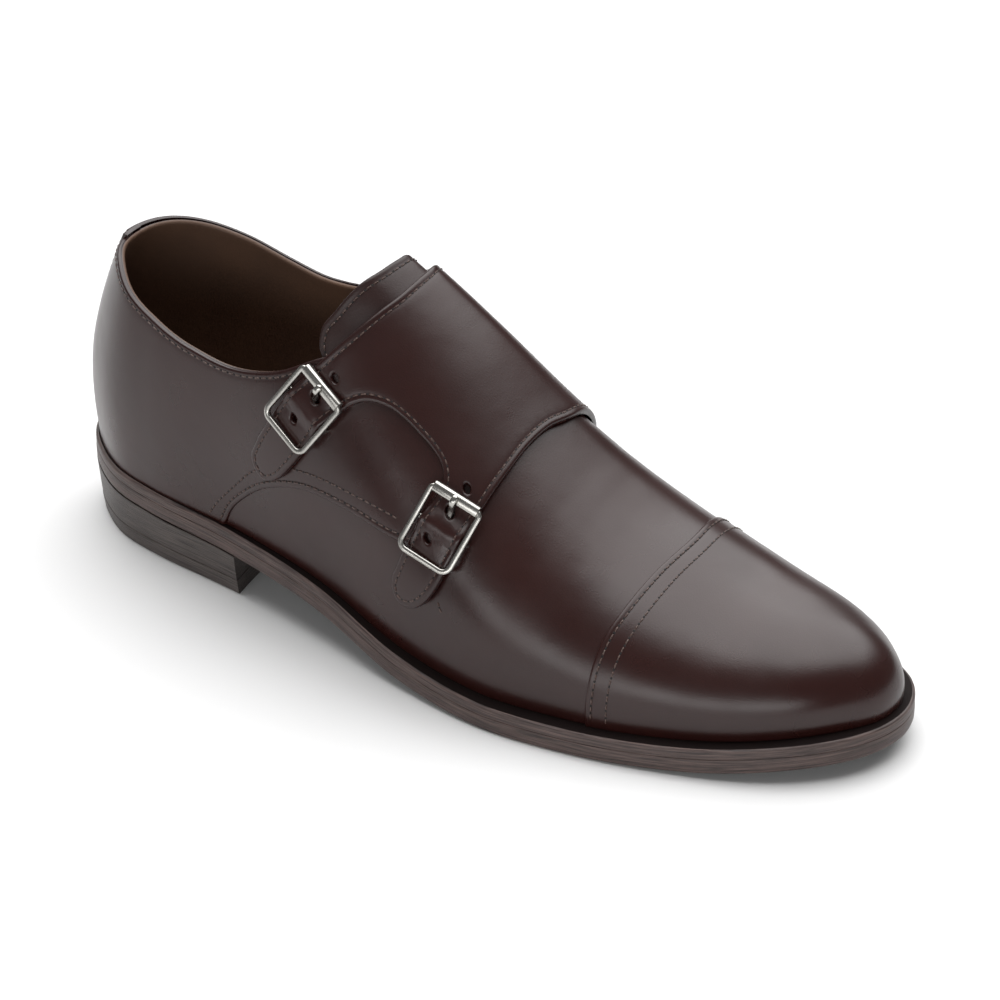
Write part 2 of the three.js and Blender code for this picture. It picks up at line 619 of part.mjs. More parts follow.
function roller() {
  const half = BUCKLE.width / 2 - BUCKLE.bar - GAP;
  const [r0, r1] = [BUCKLE.bore / 2, BUCKLE.roller / 2];
  const profile = [
    [r0, -half],
    [r1, -half],
    [r1, half],
    [r0, half],
    [r0, -half],
  ].map(([r, y]) => new THREE.Vector2(r, y));
  const tube = new THREE.LatheGeometry(profile, ROUND_SIDES);
  return tube.rotateZ(Math.PI / 2).translate(0, END_Y, BUCKLE.low + BUCKLE.bar / 2);
}
// The prong leaves its root, rises through the strap's hole and lies on the roller; y is up the strap.
function prong() {
  const top = BUCKLE.low + BUCKLE.bar / 2 + BUCKLE.roller / 2 + GAP + PRONG.thick / 2;
  const route = [
    { y: PRONG.root, z: 1.4 },
    { y: HOLE.up - 0.5, z: 2.9 },
    { y: HOLE.up + 1.6, z: 5.6 },
    { y: END_Y - PRONG.root, z: top },
    { y: END_Y + PRONG.overhang, z: top - 0.1 },
  ];
  const path = new THREE.CatmullRomCurve3(route.map(({ y, z }) => new THREE.Vector3(0, y, z)));
  const ring = new THREE.Shape().absarc(0, 0, PRONG.thick / 2, 0, 2 * Math.PI);
  return new THREE.ExtrudeGeometry(ring, { steps: 8, curveSegments: 4, extrudePath: path });
}
// The strap sheet with the holes that the prongs come through.
function strap() {
  const holes = BUCKLES.map((buckle) =>
    new THREE.CylinderGeometry(HOLE.radius, HOLE.radius, HOLE.depth, ROUND_SIDES)
      .rotateX(Math.PI / 2)
      .translate(0, HOLE.up, 0)
      .applyMatrix4(buckleAxes(buckle)),
  );
  return geometryOf(holes.reduce((solid, hole) => solid.subtract(solidOf(hole)), solidOf(strapSheet())));
}
function tab({ name, x, girth, slant }) {
  const rows = evenly(TAB.start, TAB.length, 6).map((down, i) => {
    const middle = x - slant * down;
    return evenly(middle - TAB.width / 2, middle + TAB.width / 2, 3).map((station, j) => ({
      id: `${name}${i}_${j}`,
      outer: overLast(station, girth + down, GAP + TAB.thick),
      inner: overLast(station, girth + down, GAP),
    }));
  });
  return shell(quadsBetween(rows));
}

// ---- assembly ----------------------------------------------------------------------------------------
const LEATHER = { color: 0x3a2824, roughness: 0.35, metalness: 0 };
const LOOKS = {
  upper: LEATHER,
  strap: LEATHER,
  tongue: { color: 0x241b1a, roughness: 0.45, metalness: 0 },
  sole: { color: 0x33292a, roughness: 0.6, metalness: 0 },
  rubber: { color: 0x2a2827, roughness: 0.8, metalness: 0 },
  insole: { color: 0x6d4d36, roughness: 0.7, metalness: 0 },
  steel: { color: 0xb9b8b4, roughness: 0.25, metalness: 1 },
};
const shoe = new THREE.Group();
function add(name, geometry, look) {
  const mesh = new THREE.Mesh(geometry, new THREE.MeshStandardMaterial(LOOKS[look]));
  mesh.name = name;
  shoe.add(mesh);
  return mesh;
}
add("heel_top_piece", topPiece(), "rubber");
add("heel_stack", heelStack(), "sole");
add("outsole", outsole(), "sole");
add("welt", welt(), "sole");
add("insole", insole(), "insole");
add("upper", upper(), "upper");
add("tongue", tongue(), "tongue");
add("strap", strap(), "strap");
for (const buckle of BUCKLES) {
  const axes = buckleAxes(buckle);
  add(`${buckle.name}_buckle_tab`, tab(buckle), "strap");
  for (const [part, geometry] of Object.entries({ frame: buckleFrame(), roller: roller(), prong: prong() })) {
    const mesh = add(`${buckle.name}_buckle_${part}`, geometry, "steel");
    axes.decompose(mesh.position, mesh.quaternion, mesh.scale);
  }
}

// The origin is on the floor under the middle of the shoe's box.
const box = new THREE.Box3().setFromObject(shoe, true);
shoe.position.set(-(box.min.x + box.max.x) / 2, -(box.min.y + box.max.y) / 2, -box.min.z);

export default shoe;
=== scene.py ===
# The looks of a men's double monk strap shoe, right foot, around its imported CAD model.
# Sizes are in millimetres in the shoe's own frame: x along the shoe from the heel's back to the toe tip,
# +y to the inner (medial) side, z up. placed() turns them into metres in the row frame.
import math

import bmesh
import bpy
import numpy as np
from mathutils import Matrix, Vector
from mathutils.geometry import delaunay_2d_cdt


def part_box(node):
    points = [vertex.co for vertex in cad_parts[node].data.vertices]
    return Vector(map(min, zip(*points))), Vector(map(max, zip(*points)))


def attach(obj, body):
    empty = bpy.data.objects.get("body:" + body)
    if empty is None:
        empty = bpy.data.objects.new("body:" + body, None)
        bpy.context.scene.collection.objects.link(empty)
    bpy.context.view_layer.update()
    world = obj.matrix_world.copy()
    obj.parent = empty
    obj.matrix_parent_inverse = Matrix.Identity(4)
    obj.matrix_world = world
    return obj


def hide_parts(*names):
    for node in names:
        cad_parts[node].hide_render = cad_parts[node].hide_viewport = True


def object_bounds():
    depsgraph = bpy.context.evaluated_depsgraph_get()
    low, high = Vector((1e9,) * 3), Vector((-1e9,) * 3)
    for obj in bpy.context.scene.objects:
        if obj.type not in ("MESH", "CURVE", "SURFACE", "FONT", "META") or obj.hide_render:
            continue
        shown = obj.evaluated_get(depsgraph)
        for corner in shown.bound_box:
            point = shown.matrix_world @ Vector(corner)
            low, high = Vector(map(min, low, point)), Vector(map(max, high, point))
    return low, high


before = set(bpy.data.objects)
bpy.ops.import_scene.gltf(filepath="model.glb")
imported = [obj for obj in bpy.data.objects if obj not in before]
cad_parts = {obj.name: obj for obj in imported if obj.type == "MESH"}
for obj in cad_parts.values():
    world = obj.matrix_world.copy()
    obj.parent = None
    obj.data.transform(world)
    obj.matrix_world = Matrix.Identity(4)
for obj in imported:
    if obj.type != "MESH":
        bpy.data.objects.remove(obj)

cad_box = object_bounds()

# ---- driving dimensions, the CAD model's unless a line says otherwise ------------------
MM = 0.001
LENGTH = 303.0
GAP = 0.3
SHEET_GAP = 0.45
WALL = 2.2
OUTSOLE_THICK = 5.2
WELT_THICK = 3.6
INSOLE_THICK = 4.0
TOP_PIECE_THICK = 5.5
FEATHER_CLEARANCE = 2.8 * GAP  # two gaps between the sole's layers, and a little for the sole's slope
BREAST_X = 77.0  # front face of the heel
BREAST_HOLLOW = 3.0
HEEL_INSET = 0.1  # the heel's edge stands in by this much; CAD has 0.4
HEEL_TAPER = 2.0
BUCKLE_WIDTH = 20.4
BUCKLE_LENGTH = 24.0
BUCKLE_BAR = 1.9  # CAD has 1.8
BUCKLE_LOW = 3.2
ROLLER_RADIUS = 1.7  # CAD has 1.6
CENTRE_BAR_HEIGHT = 1.15
CENTRE_BAR_RADIUS = 0.8
POST_RADIUS = 0.85  # CAD has 0.9
BAR_BUMP_HEIGHT = 2.1  # how the strap climbs over the buckle's centre bar
BAR_BUMP_REACH = 4.5
TAB_WIDTH = 11.0
TAB_START = 4.0
TAB_LENGTH = 22.0
TAB_THICK = 0.9
THROAT_X = 157.0  # where the opening closes on the instep
TOE_DOME = 34.0
TOE_BULGE = 2.5
TOE_REACH = 78.0
BACK_REACH = 75.0
HEEL_MARGIN = 1.4
TOE_MARGIN = 3.6
END_FADE = 0.35  # the sole's margin fades in from the ends
TIP_Y = 7.0  # side place of the toe tip
TIP_FADE = 0.9  # angle over which the ridge comes into the tip's plane; CAD has no such fade


def table(columns, *rows):
    """Rows under named columns."""
    return dict(zip(columns.split(), np.array(rows, float).T))


SOLE = table(
    "x lateral medial",
    (0, 2, 2), (10, -17, 21), (25, -26.5, 29.5), (40, -30, 32.5), (77, -34.5, 30.5), (116, -42, 27.5),
    (150, -49.5, 32.5), (187, -54, 43), (215, -51, 48.5), (248, -42.5, 45.5), (275, -31, 38),
    (293, -16.5, 28), (LENGTH, 7, 7),
)
EDGE = table(
    "x lateral medial under",
    (0, 1.2, 1.2, 20), (40, 1.6, 1.6, 16.8), (77, 2.2, 1.8, 15.3), (116, 3.2, 2, 11.8), (150, 4.4, 3, 3.4),
    (187, 5, 4, 0), (218, 5, 4.5, 0), (250, 5, 4.8, 1.2), (280, 4.4, 4.6, 4.6), (LENGTH, 4, 4, 6.6),
)
LAST = table(
    "x ridge_y ridge_z swell_out swell_in full_out full_in",
    (0, 2, 136, 0.1, 0.1, 1, 1), (60, 2, 140, 0.12, 0.1, 1, 1), (100, 4, 132, 0.12, 0.1, 1.02, 1.02),
    (125, 6, 118.5, 0.1, 0.1, 1.04, 1.02), (150, 8, 101.5, 0.09, 0.08, 1.02, 1),
    (180, 9.5, 78, 0.07, 0.06, 0.96, 0.94), (215, 11, 56, 0.05, 0.05, 0.9, 0.88),
    (250, 11, 45.5, 0.05, 0.05, 0.86, 0.86), (280, 9.5, 42.5, 0.05, 0.05, 0.84, 0.84),
    (LENGTH, 7, 41, 0.05, 0.05, 0.84, 0.84),
)
BACK_SEAM = table(
    "v forward",
    (0, 0), (0.12, -1.4), (0.28, -1), (0.43, 2.6), (0.57, 7.6), (0.66, 11.5), (1, 25),
)
TOPLINE = table(
    "x lateral medial",
    (0, 98.5, 98.5), (14, 97, 98.5), (36, 90, 94.5), (57, 85, 90.5), (76, 84, 89.5), (93, 88.5, 93.5),
    (110, 97.5, 104), (128, 101.5, 106), (146, 99.5, 101), (THROAT_X, 96, 96),
)
# Each buckle's middle, by station and girth, and how far its strap runs back for each millimetre down.
BUCKLES = {"upper": (108.4, 63.5, 0.515), "lower": (164.0, 60.5, 0.215)}

# ---- looks' own sizes ------------------------------------------------------------------
BASE_LIFT = -0.4  # vamp leather, against the CAD upper's outer face
PANEL_LIFT = 0.45  # quarters and toe cap lie on the vamp, a leather's thickness higher
STRAP_LIFT = 2.3
EDGE_ROUND = 0.7  # radius of a cut and burnished leather edge
STITCH_INSET = 2.0
TOPLINE_INSET = 1.7
STITCH_PITCH = 2.75
STITCH_LENGTH = 1.95
THREAD_RADIUS = 0.27
WEAR_REACH = 0.9  # how far in from a free edge the leather is burnished
FOOT_TUCK = 0.5  # how far leather runs down past the upper's bottom edge, behind the welt
PANEL_SINK = 0.3  # how far a panel's underside sinks into the leather that it lies on


def angle_at(x):
    return np.arccos(np.clip(1 - 2 * np.asarray(x, float) / LENGTH, -1, 1))


def station_at(u):
    return LENGTH * (1 - np.cos(u)) / 2


def curve(rows, key, column, spread=lambda k: k, level_end=False):
    """A smooth function through a table's rows; level_end leaves the last row with no slope."""
    t = spread(rows[key])
    y = rows[column]
    gap = np.diff(t)
    slope = np.diff(y) / gap
    between = (slope[:-1] * gap[1:] + slope[1:] * gap[:-1]) / (gap[1:] + gap[:-1])
    tangent = np.concatenate([[slope[0]], between, [0 if level_end else slope[-1]]])

    def at(value):
        k = np.clip(spread(np.asarray(value, float)), t[0], t[-1])
        i = np.clip(np.searchsorted(t, k) - 1, 0, len(t) - 2)
        h = t[i + 1] - t[i]
        s = (k - t[i]) / h
        ends = (2 * s**3 - 3 * s**2 + 1) * y[i] + (3 * s**2 - 2 * s**3) * y[i + 1]
        return ends + (s**3 - 2 * s**2 + s) * h * tangent[i] + (s**3 - s**2) * h * tangent[i + 1]

    return at


def by_station(rows, *columns, level_end=False):
    """One curve, or one for each side, by station."""
    made = [curve(rows, "x", column, angle_at, level_end) for column in columns]
    return made[0] if len(made) == 1 else made


SOLE_EDGE = by_station(SOLE, "lateral", "medial")
MARGIN = by_station(EDGE, "lateral", "medial")
UNDER = by_station(EDGE, "under", level_end=True)
RIDGE_Y = by_station(LAST, "ridge_y", level_end=True)
RIDGE_Z = by_station(LAST, "ridge_z", level_end=True)
SWELL = by_station(LAST, "swell_out", "swell_in")
FULLNESS = by_station(LAST, "full_out", "full_in")
TOP_EDGE = by_station(TOPLINE, "lateral", "medial")
BACK_FORWARD = curve(BACK_SEAM, "v", "forward")


def under(x):
    return np.maximum(0, UNDER(x))


def feather_z(x):
    return under(x) + OUTSOLE_THICK + WELT_THICK + FEATHER_CLEARANCE


def on_side(medial, pair, x):
    return np.where(medial, pair[1](x), pair[0](x))


def smoothstep(value, low, high):
    t = np.clip((value - low) / (high - low), 0, 1)
    return t * t * (3 - 2 * t)


def feather_y(medial, x):
    share = smoothstep(np.sin(angle_at(x)), 0, END_FADE)
    return on_side(medial, SOLE_EDGE, x) - np.where(medial, 1, -1) * on_side(medial, MARGIN, x) * share


def ridge_y(x):
    """Side place of the ridge; it comes into the toe tip's plane well before the tip."""
    return TIP_Y + (RIDGE_Y(x) - TIP_Y) * smoothstep(math.pi - angle_at(x), 0, TIP_FADE)


def last_point(medial, u, rise):
    """A point of the last: u runs from 0 at the back to pi at the toe, rise from 0 to pi / 2 at the ridge."""
    x = station_at(u)
    v = np.sin(rise)
    back = np.maximum(0, 1 - x / BACK_REACH) ** 2
    toe = np.maximum(0, 1 - (LENGTH - x) / TOE_REACH) ** 1.5
    dome = TOE_DOME * (1 - np.cos(rise)) - TOE_BULGE * np.sin(2 * rise)
    width = feather_y(medial, x) - ridge_y(x)
    bulge = 1 + on_side(medial, SWELL, x) * 4 * v * (1 - v)
    z = feather_z(x) + (RIDGE_Z(x) - feather_z(x)) * v
    y = ridge_y(x) + width * bulge * np.maximum(np.cos(rise), 0) ** on_side(medial, FULLNESS, x)
    drawn_in = HEEL_MARGIN + x * (LENGTH - HEEL_MARGIN - TOE_MARGIN) / LENGTH
    return np.stack(np.broadcast_arrays(drawn_in + back * BACK_FORWARD(v) - toe * dome, y, z), -1)


def unit(vectors):
    return vectors / np.maximum(np.linalg.norm(vectors, axis=-1, keepdims=True), 1e-12)


def lengths(path):
    """Distance travelled at each point of a path."""
    return np.concatenate([[0], np.cumsum(np.linalg.norm(np.diff(path, axis=0), axis=1))])


STEP = 1e-3  # of an angle, for slopes
SAME_ANGLE = 1e-4


def last_normal(medial, u, rise):
    """The outward normal; on the middle plane it stays in that plane."""
    u0 = np.clip(u, STEP, math.pi - STEP)
    r0 = np.clip(rise, STEP, math.pi / 2 - 3 * STEP)
    along = last_point(medial, u0 + STEP, r0) - last_point(medial, u0 - STEP, r0)
    up = last_point(medial, u0, r0 + STEP) - last_point(medial, u0, r0 - STEP)
    normal = unit(np.cross(along, up) * np.where(medial, -1, 1)[..., None])
    flat = unit(np.stack([up[..., 2], 0 * up[..., 2], -up[..., 0]], -1)) * np.where(u < 1, -1, 1)[..., None]
    on_seam = (u < SAME_ANGLE) | (u > math.pi - SAME_ANGLE)
    normal = np.where(on_seam[..., None], flat, normal)
    top = np.full(np.shape(u0), math.pi / 2)
    ridge = last_point(medial, u0 + STEP, top) - last_point(medial, u0 - STEP, top)
    level = unit(np.stack([-ridge[..., 2], 0 * ridge[..., 2], ridge[..., 0]], -1))
    return np.where((rise > math.pi / 2 - SAME_ANGLE)[..., None], level, normal)


def offset_point(medial, u, rise, lift):
    medial, u, rise, lift = np.broadcast_arrays(medial, u, rise, lift)
    return last_point(medial, u, rise) + last_normal(medial, u, rise) * lift[..., None]


def rise_at_height(x, z):
    return np.arcsin(np.clip((z - feather_z(x)) / (RIDGE_Z(x) - feather_z(x)), 0, 1))


# ---- a flat map of the last: length along the bottom edge, and girth down the wall from the ridge 
MAP_U = np.linspace(0, math.pi, 321)
MAP_RISE = np.linspace(math.pi / 2, 0, 121)


def wall_arcs(medial):
    """Distance down one wall from the ridge, station by station."""
    points = last_point(np.array(medial), MAP_U[:, None], MAP_RISE[None, :])
    steps = np.linalg.norm(np.diff(points, axis=1), axis=2)
    return np.concatenate([np.zeros((len(MAP_U), 1)), np.cumsum(steps, 1)], 1)


ARCS = [wall_arcs(False), wall_arcs(True)]


def bottom_lengths():
    """Distance along the bottom edge from the back seam, the mean of both sides."""
    total = 0
    for medial in (False, True):
        points = last_point(np.array(medial), MAP_U, np.zeros(len(MAP_U)))[:, :2]
        total = total + lengths(points)
    return total / 2


MAP_Q = bottom_lengths()


def q_at(x):
    return np.interp(angle_at(x), MAP_U, MAP_Q)


def x_at(q):
    return station_at(np.interp(q, MAP_Q, MAP_U))


def arc_rows(medial, u):
    at = np.clip(u / math.pi * (len(MAP_U) - 1), 0, len(MAP_U) - 1.000001)
    i = at.astype(int)
    f = (at - i)[:, None]
    rows = [(1 - f) * arcs[i] + f * arcs[i + 1] for arcs in ARCS]
    return np.where(medial[:, None], rows[1], rows[0])


def rise_at_girth(medial, u, girth):
    rows = arc_rows(medial, u)
    j = np.clip((rows < girth[:, None]).sum(1) - 1, 0, rows.shape[1] - 2)
    n = np.arange(len(u))
    share = (girth - rows[n, j]) / np.maximum(rows[n, j + 1] - rows[n, j], 1e-9)
    return np.clip(MAP_RISE[j] + np.clip(share, 0, 1) * (MAP_RISE[1] - MAP_RISE[0]), 0, math.pi / 2)


def girth_at_rise(medial, x, rise):
    u = np.atleast_1d(angle_at(x))
    rise = np.broadcast_to(rise, u.shape)
    rows = arc_rows(np.full(len(u), medial), u)
    return np.array([np.interp(r, MAP_RISE[::-1], row[::-1]) for r, row in zip(rise, rows)])


def over(points, lift):
    """Points of the flat map (q, girth), lateral girths positive, laid over the last at a height."""
    q, girth = points[:, 0], points[:, 1]
    medial = girth < 0
    u = np.interp(q, MAP_Q, MAP_U)
    rise = rise_at_girth(medial, u, np.abs(girth))
    return offset_point(medial, u, rise, lift)


def foot(x, medial):
    """Girth of the bottom edge, signed."""
    return (-1 if medial else 1) * girth_at_rise(medial, x, 0.0)


def collar(x, medial):
    """Girth of the topline, signed."""
    height = TOP_EDGE[1 if medial else 0](x)
    return (-1 if medial else 1) * girth_at_rise(medial, x, rise_at_height(np.atleast_1d(x), height))


FOOT_STATIONS = np.linspace(0, LENGTH, 200)
FOOT_GIRTH = [foot(FOOT_STATIONS, medial) for medial in (False, True)]


def foot_lines(x):
    """Girths of the bottom edge, first on the medial side, then on the lateral."""
    return [np.interp(x, FOOT_STATIONS, girths) for girths in FOOT_GIRTH[::-1]]


# ---- mesh helpers ----------------------------------------------------------------------
outsole_low, outsole_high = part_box("outsole")
SHIFT = np.array(
    [
        outsole_low.x / MM,
        outsole_low.y / MM - SOLE_EDGE[0](np.linspace(0, LENGTH, 2000)).min(),
        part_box("heel_top_piece")[0].z / MM,
    ]
)


def placed(points):
    """Millimetres in the shoe's frame, turned into metres in the row frame."""
    return (np.asarray(points, float) + SHIFT) * MM


def make(name, points, faces, material, slot, tags=None, second=None, replaces=(), sharp=50, merge=0.004):
    """A piece from points in millimetres. tags are numbers by vertex; second is (material, face flags)."""
    mesh = bpy.data.meshes.new(name)
    mesh.from_pydata(placed(points).tolist(), [], [list(map(int, f)) for f in faces])
    for tag, values in (tags or {}).items():
        mesh.attributes.new(tag, "FLOAT", "POINT").data.foreach_set("value", np.asarray(values, np.float32))
    mesh.materials.append(material)
    if second:
        mesh.materials.append(second[0])
        mesh.polygons.foreach_set("material_index", np.asarray(second[1], np.int32))
    work = bmesh.new()
    work.from_mesh(mesh)
    bmesh.ops.remove_doubles(work, verts=work.verts, dist=merge * MM)
    bmesh.ops.dissolve_degenerate(work, edges=work.edges, dist=1e-8)
    bmesh.ops.recalc_face_normals(work, faces=work.faces)
    work.to_mesh(mesh)
    work.free()
    mesh.shade_smooth()
    mesh.set_sharp_from_angle(angle=math.radians(sharp))
    piece = bpy.data.objects.new(name, mesh)
    bpy.context.scene.collection.objects.link(piece)
    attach(piece, "root")
    if replaces:
        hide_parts(*replaces)


def grid_faces(rows, columns, start=0, closed=False):
    """Quads between rows of columns points; closed joins the last column to the first."""
    r, c = np.meshgrid(np.arange(rows - 1), np.arange(columns if closed else columns - 1), indexing="ij")
    d = (c + 1) % columns
    quads = np.stack([r * columns + c, (r + 1) * columns + c, (r + 1) * columns + d, r * columns + d], -1)
    return (quads.reshape(-1, 4) + start).tolist()


def sheet_faces(rows, columns, rims, start=0):
    """Two grids of points, one under the other, and the walls between them along rims of point numbers."""
    size = rows * columns
    faces = grid_faces(rows, columns, start) + grid_faces(rows, columns, start + size)
    for rim in rims:
        faces += [(start + a, start + b, start + b + size, start + a + size) for a, b in zip(rim, rim[1:])]
    return faces


# ---- panels cut in the flat map --------------------------------------------------------
def run(*points, step=0.8):
    """A smooth line in the flat map through (station, girth) points, evenly sampled."""
    given = np.array(points, float)
    line = np.stack([q_at(given[:, 0]), given[:, 1]], 1)
    along = lengths(line)
    rows = {"t": along, "q": line[:, 0], "g": line[:, 1]}
    t = np.linspace(0, along[-1], max(2, int(along[-1] / step) + 1))
    return np.stack([curve(rows, "t", "q")(t), curve(rows, "t", "g")(t)], 1)


def line_distance(points, lines):
    """Distance from each point to the nearest of some lines."""
    best = np.full(len(points), 1e9)
    for line in lines:
        a, b = line[:-1], line[1:]
        ab = b - a
        size = np.maximum((ab**2).sum(1), 1e-12)
        for first in range(0, len(points), CHUNK):
            p = points[first : first + CHUNK, None, :]
            t = np.clip(((p - a) * ab).sum(2) / size, 0, 1)
            near = np.sqrt((((a + t[..., None] * ab) - p) ** 2).sum(2)).min(1)
            best[first : first + CHUNK] = np.minimum(best[first : first + CHUNK], near)
    return best


def inside(points, polygon):
    a, b = polygon, np.roll(polygon, -1, 0)
    found = np.zeros(len(points), bool)
    for first in range(0, len(points), CHUNK):
        p = points[first : first + CHUNK]
        crosses = (a[:, 1] > p[:, None, 1]) != (b[:, 1] > p[:, None, 1])
        rise = np.where(b[:, 1] == a[:, 1], 1e-12, b[:, 1] - a[:, 1])
        at = a[:, 0] + (p[:, None, 1] - a[:, 1]) / rise * (b[:, 0] - a[:, 0])
        found[first : first + CHUNK] = (crosses & (p[:, None, 0] < at)).sum(1) % 2 == 1
    return found


def line_offset(line, distance, polygon):
    """The line moved into the polygon, without the points that its bends push too close to the line."""
    tangent = unit(np.gradient(line, axis=0))
    normal = np.stack([-tangent[:, 1], tangent[:, 0]], 1)
    middle = len(line) // 2
    if not inside((line + normal * 0.3)[middle : middle + 1], polygon)[0]:
        normal = -normal
    moved = line + normal * distance
    return moved[inside(moved, polygon) & (line_distance(moved, [line]) > 0.96 * distance)]


HOLE_SIDES = 18
HOLE_RINGS = (0.25, 0.6, 1.1)  # rings of points round a hole
CHUNK = 4000  # points measured at a time


def ring_of(hole, grow=0.0):
    x, girth, radius = hole
    turn = np.linspace(0, 2 * math.pi, HOLE_SIDES, endpoint=False)
    return np.stack([q_at(x) + (radius + grow) * np.cos(turn), girth + (radius + grow) * np.sin(turn)], 1)


class Panel:
    """A piece of leather: an outline in the flat map, some of its lines free edges, with round holes."""

    RINGS = (0.12, 0.32, 0.6, 1.0, 1.5, 2.0, 2.5, 3.2)

    def __init__(self, lines, free, holes=(), spacing=1.8):
        self.outline = np.concatenate([line[:-1] for line in lines])
        self.free = [lines[i] for i in free]
        self.holes = holes
        circles = [ring_of(hole) for hole in holes]
        loops = [self.outline, *circles]
        points = [*loops]
        for distance in self.RINGS:
            for line in self.free:
                points.append(line_offset(line, distance, self.outline))
        for hole in holes:
            points += [ring_of(hole, grow) for grow in HOLE_RINGS]
        low, high = self.outline.min(0), self.outline.max(0)
        q, g = np.meshgrid(np.arange(low[0], high[0], spacing), np.arange(low[1], high[1], spacing * 0.87))
        q[1::2] += spacing / 2
        field = np.stack([q.ravel(), g.ravel()], 1)
        field = field[inside(field, self.outline)]
        field = field[line_distance(field, [np.vstack([self.outline, self.outline[:1]])]) > 0.5 * spacing]
        points.append(field[self.edge(field) > self.RINGS[-1] + 0.4 * spacing])
        fixed = sum(len(loop) for loop in loops)
        flat = np.concatenate(points)
        keep = np.ones(len(flat), bool)
        keep[fixed:] = self.edge(flat[fixed:], True) > 0.1
        flat = flat[keep]
        edges = []
        first = 0
        for loop in loops:
            edges += [(first + i, first + (i + 1) % len(loop)) for i in range(len(loop))]
            first += len(loop)
        made = delaunay_2d_cdt([Vector(p) for p in flat], edges, [], 0, 1e-4)
        self.points = np.array([tuple(p) for p in made[0]])
        faces = np.array([f for f in made[2] if len(f) == 3])
        middle = self.points[faces].mean(1)
        keep = inside(middle, self.outline)
        for circle in circles:
            keep &= ~inside(middle, circle)
        self.faces = faces[keep]
        self.x = x_at(self.points[:, 0])
        self.girth = self.points[:, 1]
        self.distance = self.edge(self.points)

    def edge(self, points, loose=False):
        """Distance from the free edges and the holes."""
        best = line_distance(points, self.free)
        for x, girth, radius in self.holes:
            middle = np.array([q_at(x), girth])
            away = np.abs(np.linalg.norm(points - middle, axis=1) - radius)
            best = np.minimum(best, away if not loose else np.maximum(away, 0.2))
        return best

    def build(self, name, top, bottom, material, slot, replaces=()):
        """The closed sheet between two heights."""
        outer = over(self.points, top)
        inner = over(self.points, bottom)
        low = np.abs(self.girth) > np.abs(np.where(self.girth < 0, *foot_lines(self.x))) - 0.05
        outer[low, 2] -= FOOT_TUCK
        inner[low, 2] -= FOOT_TUCK
        n = len(self.points)
        edges = {}
        for a, b, c in self.faces:
            for p, q in ((a, b), (b, c), (c, a)):
                if (q, p) in edges:
                    del edges[(q, p)]
                else:
                    edges[(p, q)] = True
        walls = [(q, p, p + n, q + n) for p, q in edges]
        faces = [tuple(f) for f in self.faces] + [(c + n, b + n, a + n) for a, b, c in self.faces] + walls
        tags = {"edge": np.tile(np.exp(-self.distance / WEAR_REACH), 2)}
        make(name, np.concatenate([outer, inner]), faces, material, slot, tags=tags, replaces=replaces)


def edge_profile(distance, thick, groove=0.1):
    """Thickness reached at a distance from a free edge, with a shallow pull along the stitch row."""
    t = np.clip(distance / EDGE_ROUND, 0, 1)
    rounded = 0.3 + 0.7 * np.sqrt(np.clip(1 - (1 - t) ** 2, 0, 1))
    pull = groove * np.exp(-(((distance - STITCH_INSET) / 0.55) ** 2))
    puff = 0.5 * groove * np.exp(-(((distance - 1.1) / 0.6) ** 2))
    return rounded * thick - pull + puff


# ---- stitches --------------------------------------------------------------------------
thread_points, thread_faces, hole_shade_points, hole_shade_faces = [], [], [], []
THREAD_SIDES = 6
# Place along a stitch, and thickness there.
THREAD_RINGS = ((-1.0, 0.3), (-0.82, 0.8), (-0.4, 1.0), (0.4, 1.0), (0.82, 0.8), (1.0, 0.3))
THREAD_RISE = 0.16  # height of a stitch's middle, and how far its ends dip below that
THREAD_DIP = 0.3
# painted shade: each needle hole is drawn as a small near-black dome on the leather, not cut
NEEDLE_SHADE_DOME = ((0.42, -0.1), (0.4, 0.03), (0.2, 0.09))  # radius and height of a needle hole's rings
LOOK_AHEAD = 0.3  # distance over which a row's direction is taken


def collect(points, faces, tubes):
    """Adds small closed tubes, an array by tube, ring, side and axis, to a piece."""
    start = sum(len(p) for p in points)
    points.append(tubes.reshape(-1, 3))
    count, rings, sides = tubes.shape[:3]
    for first in range(start, start + count * rings * sides, rings * sides):
        faces.extend(grid_faces(rings, sides, first, closed=True))
        faces.append(list(range(first, first + sides))[::-1])
        faces.append(list(range(first + (rings - 1) * sides, first + rings * sides)))


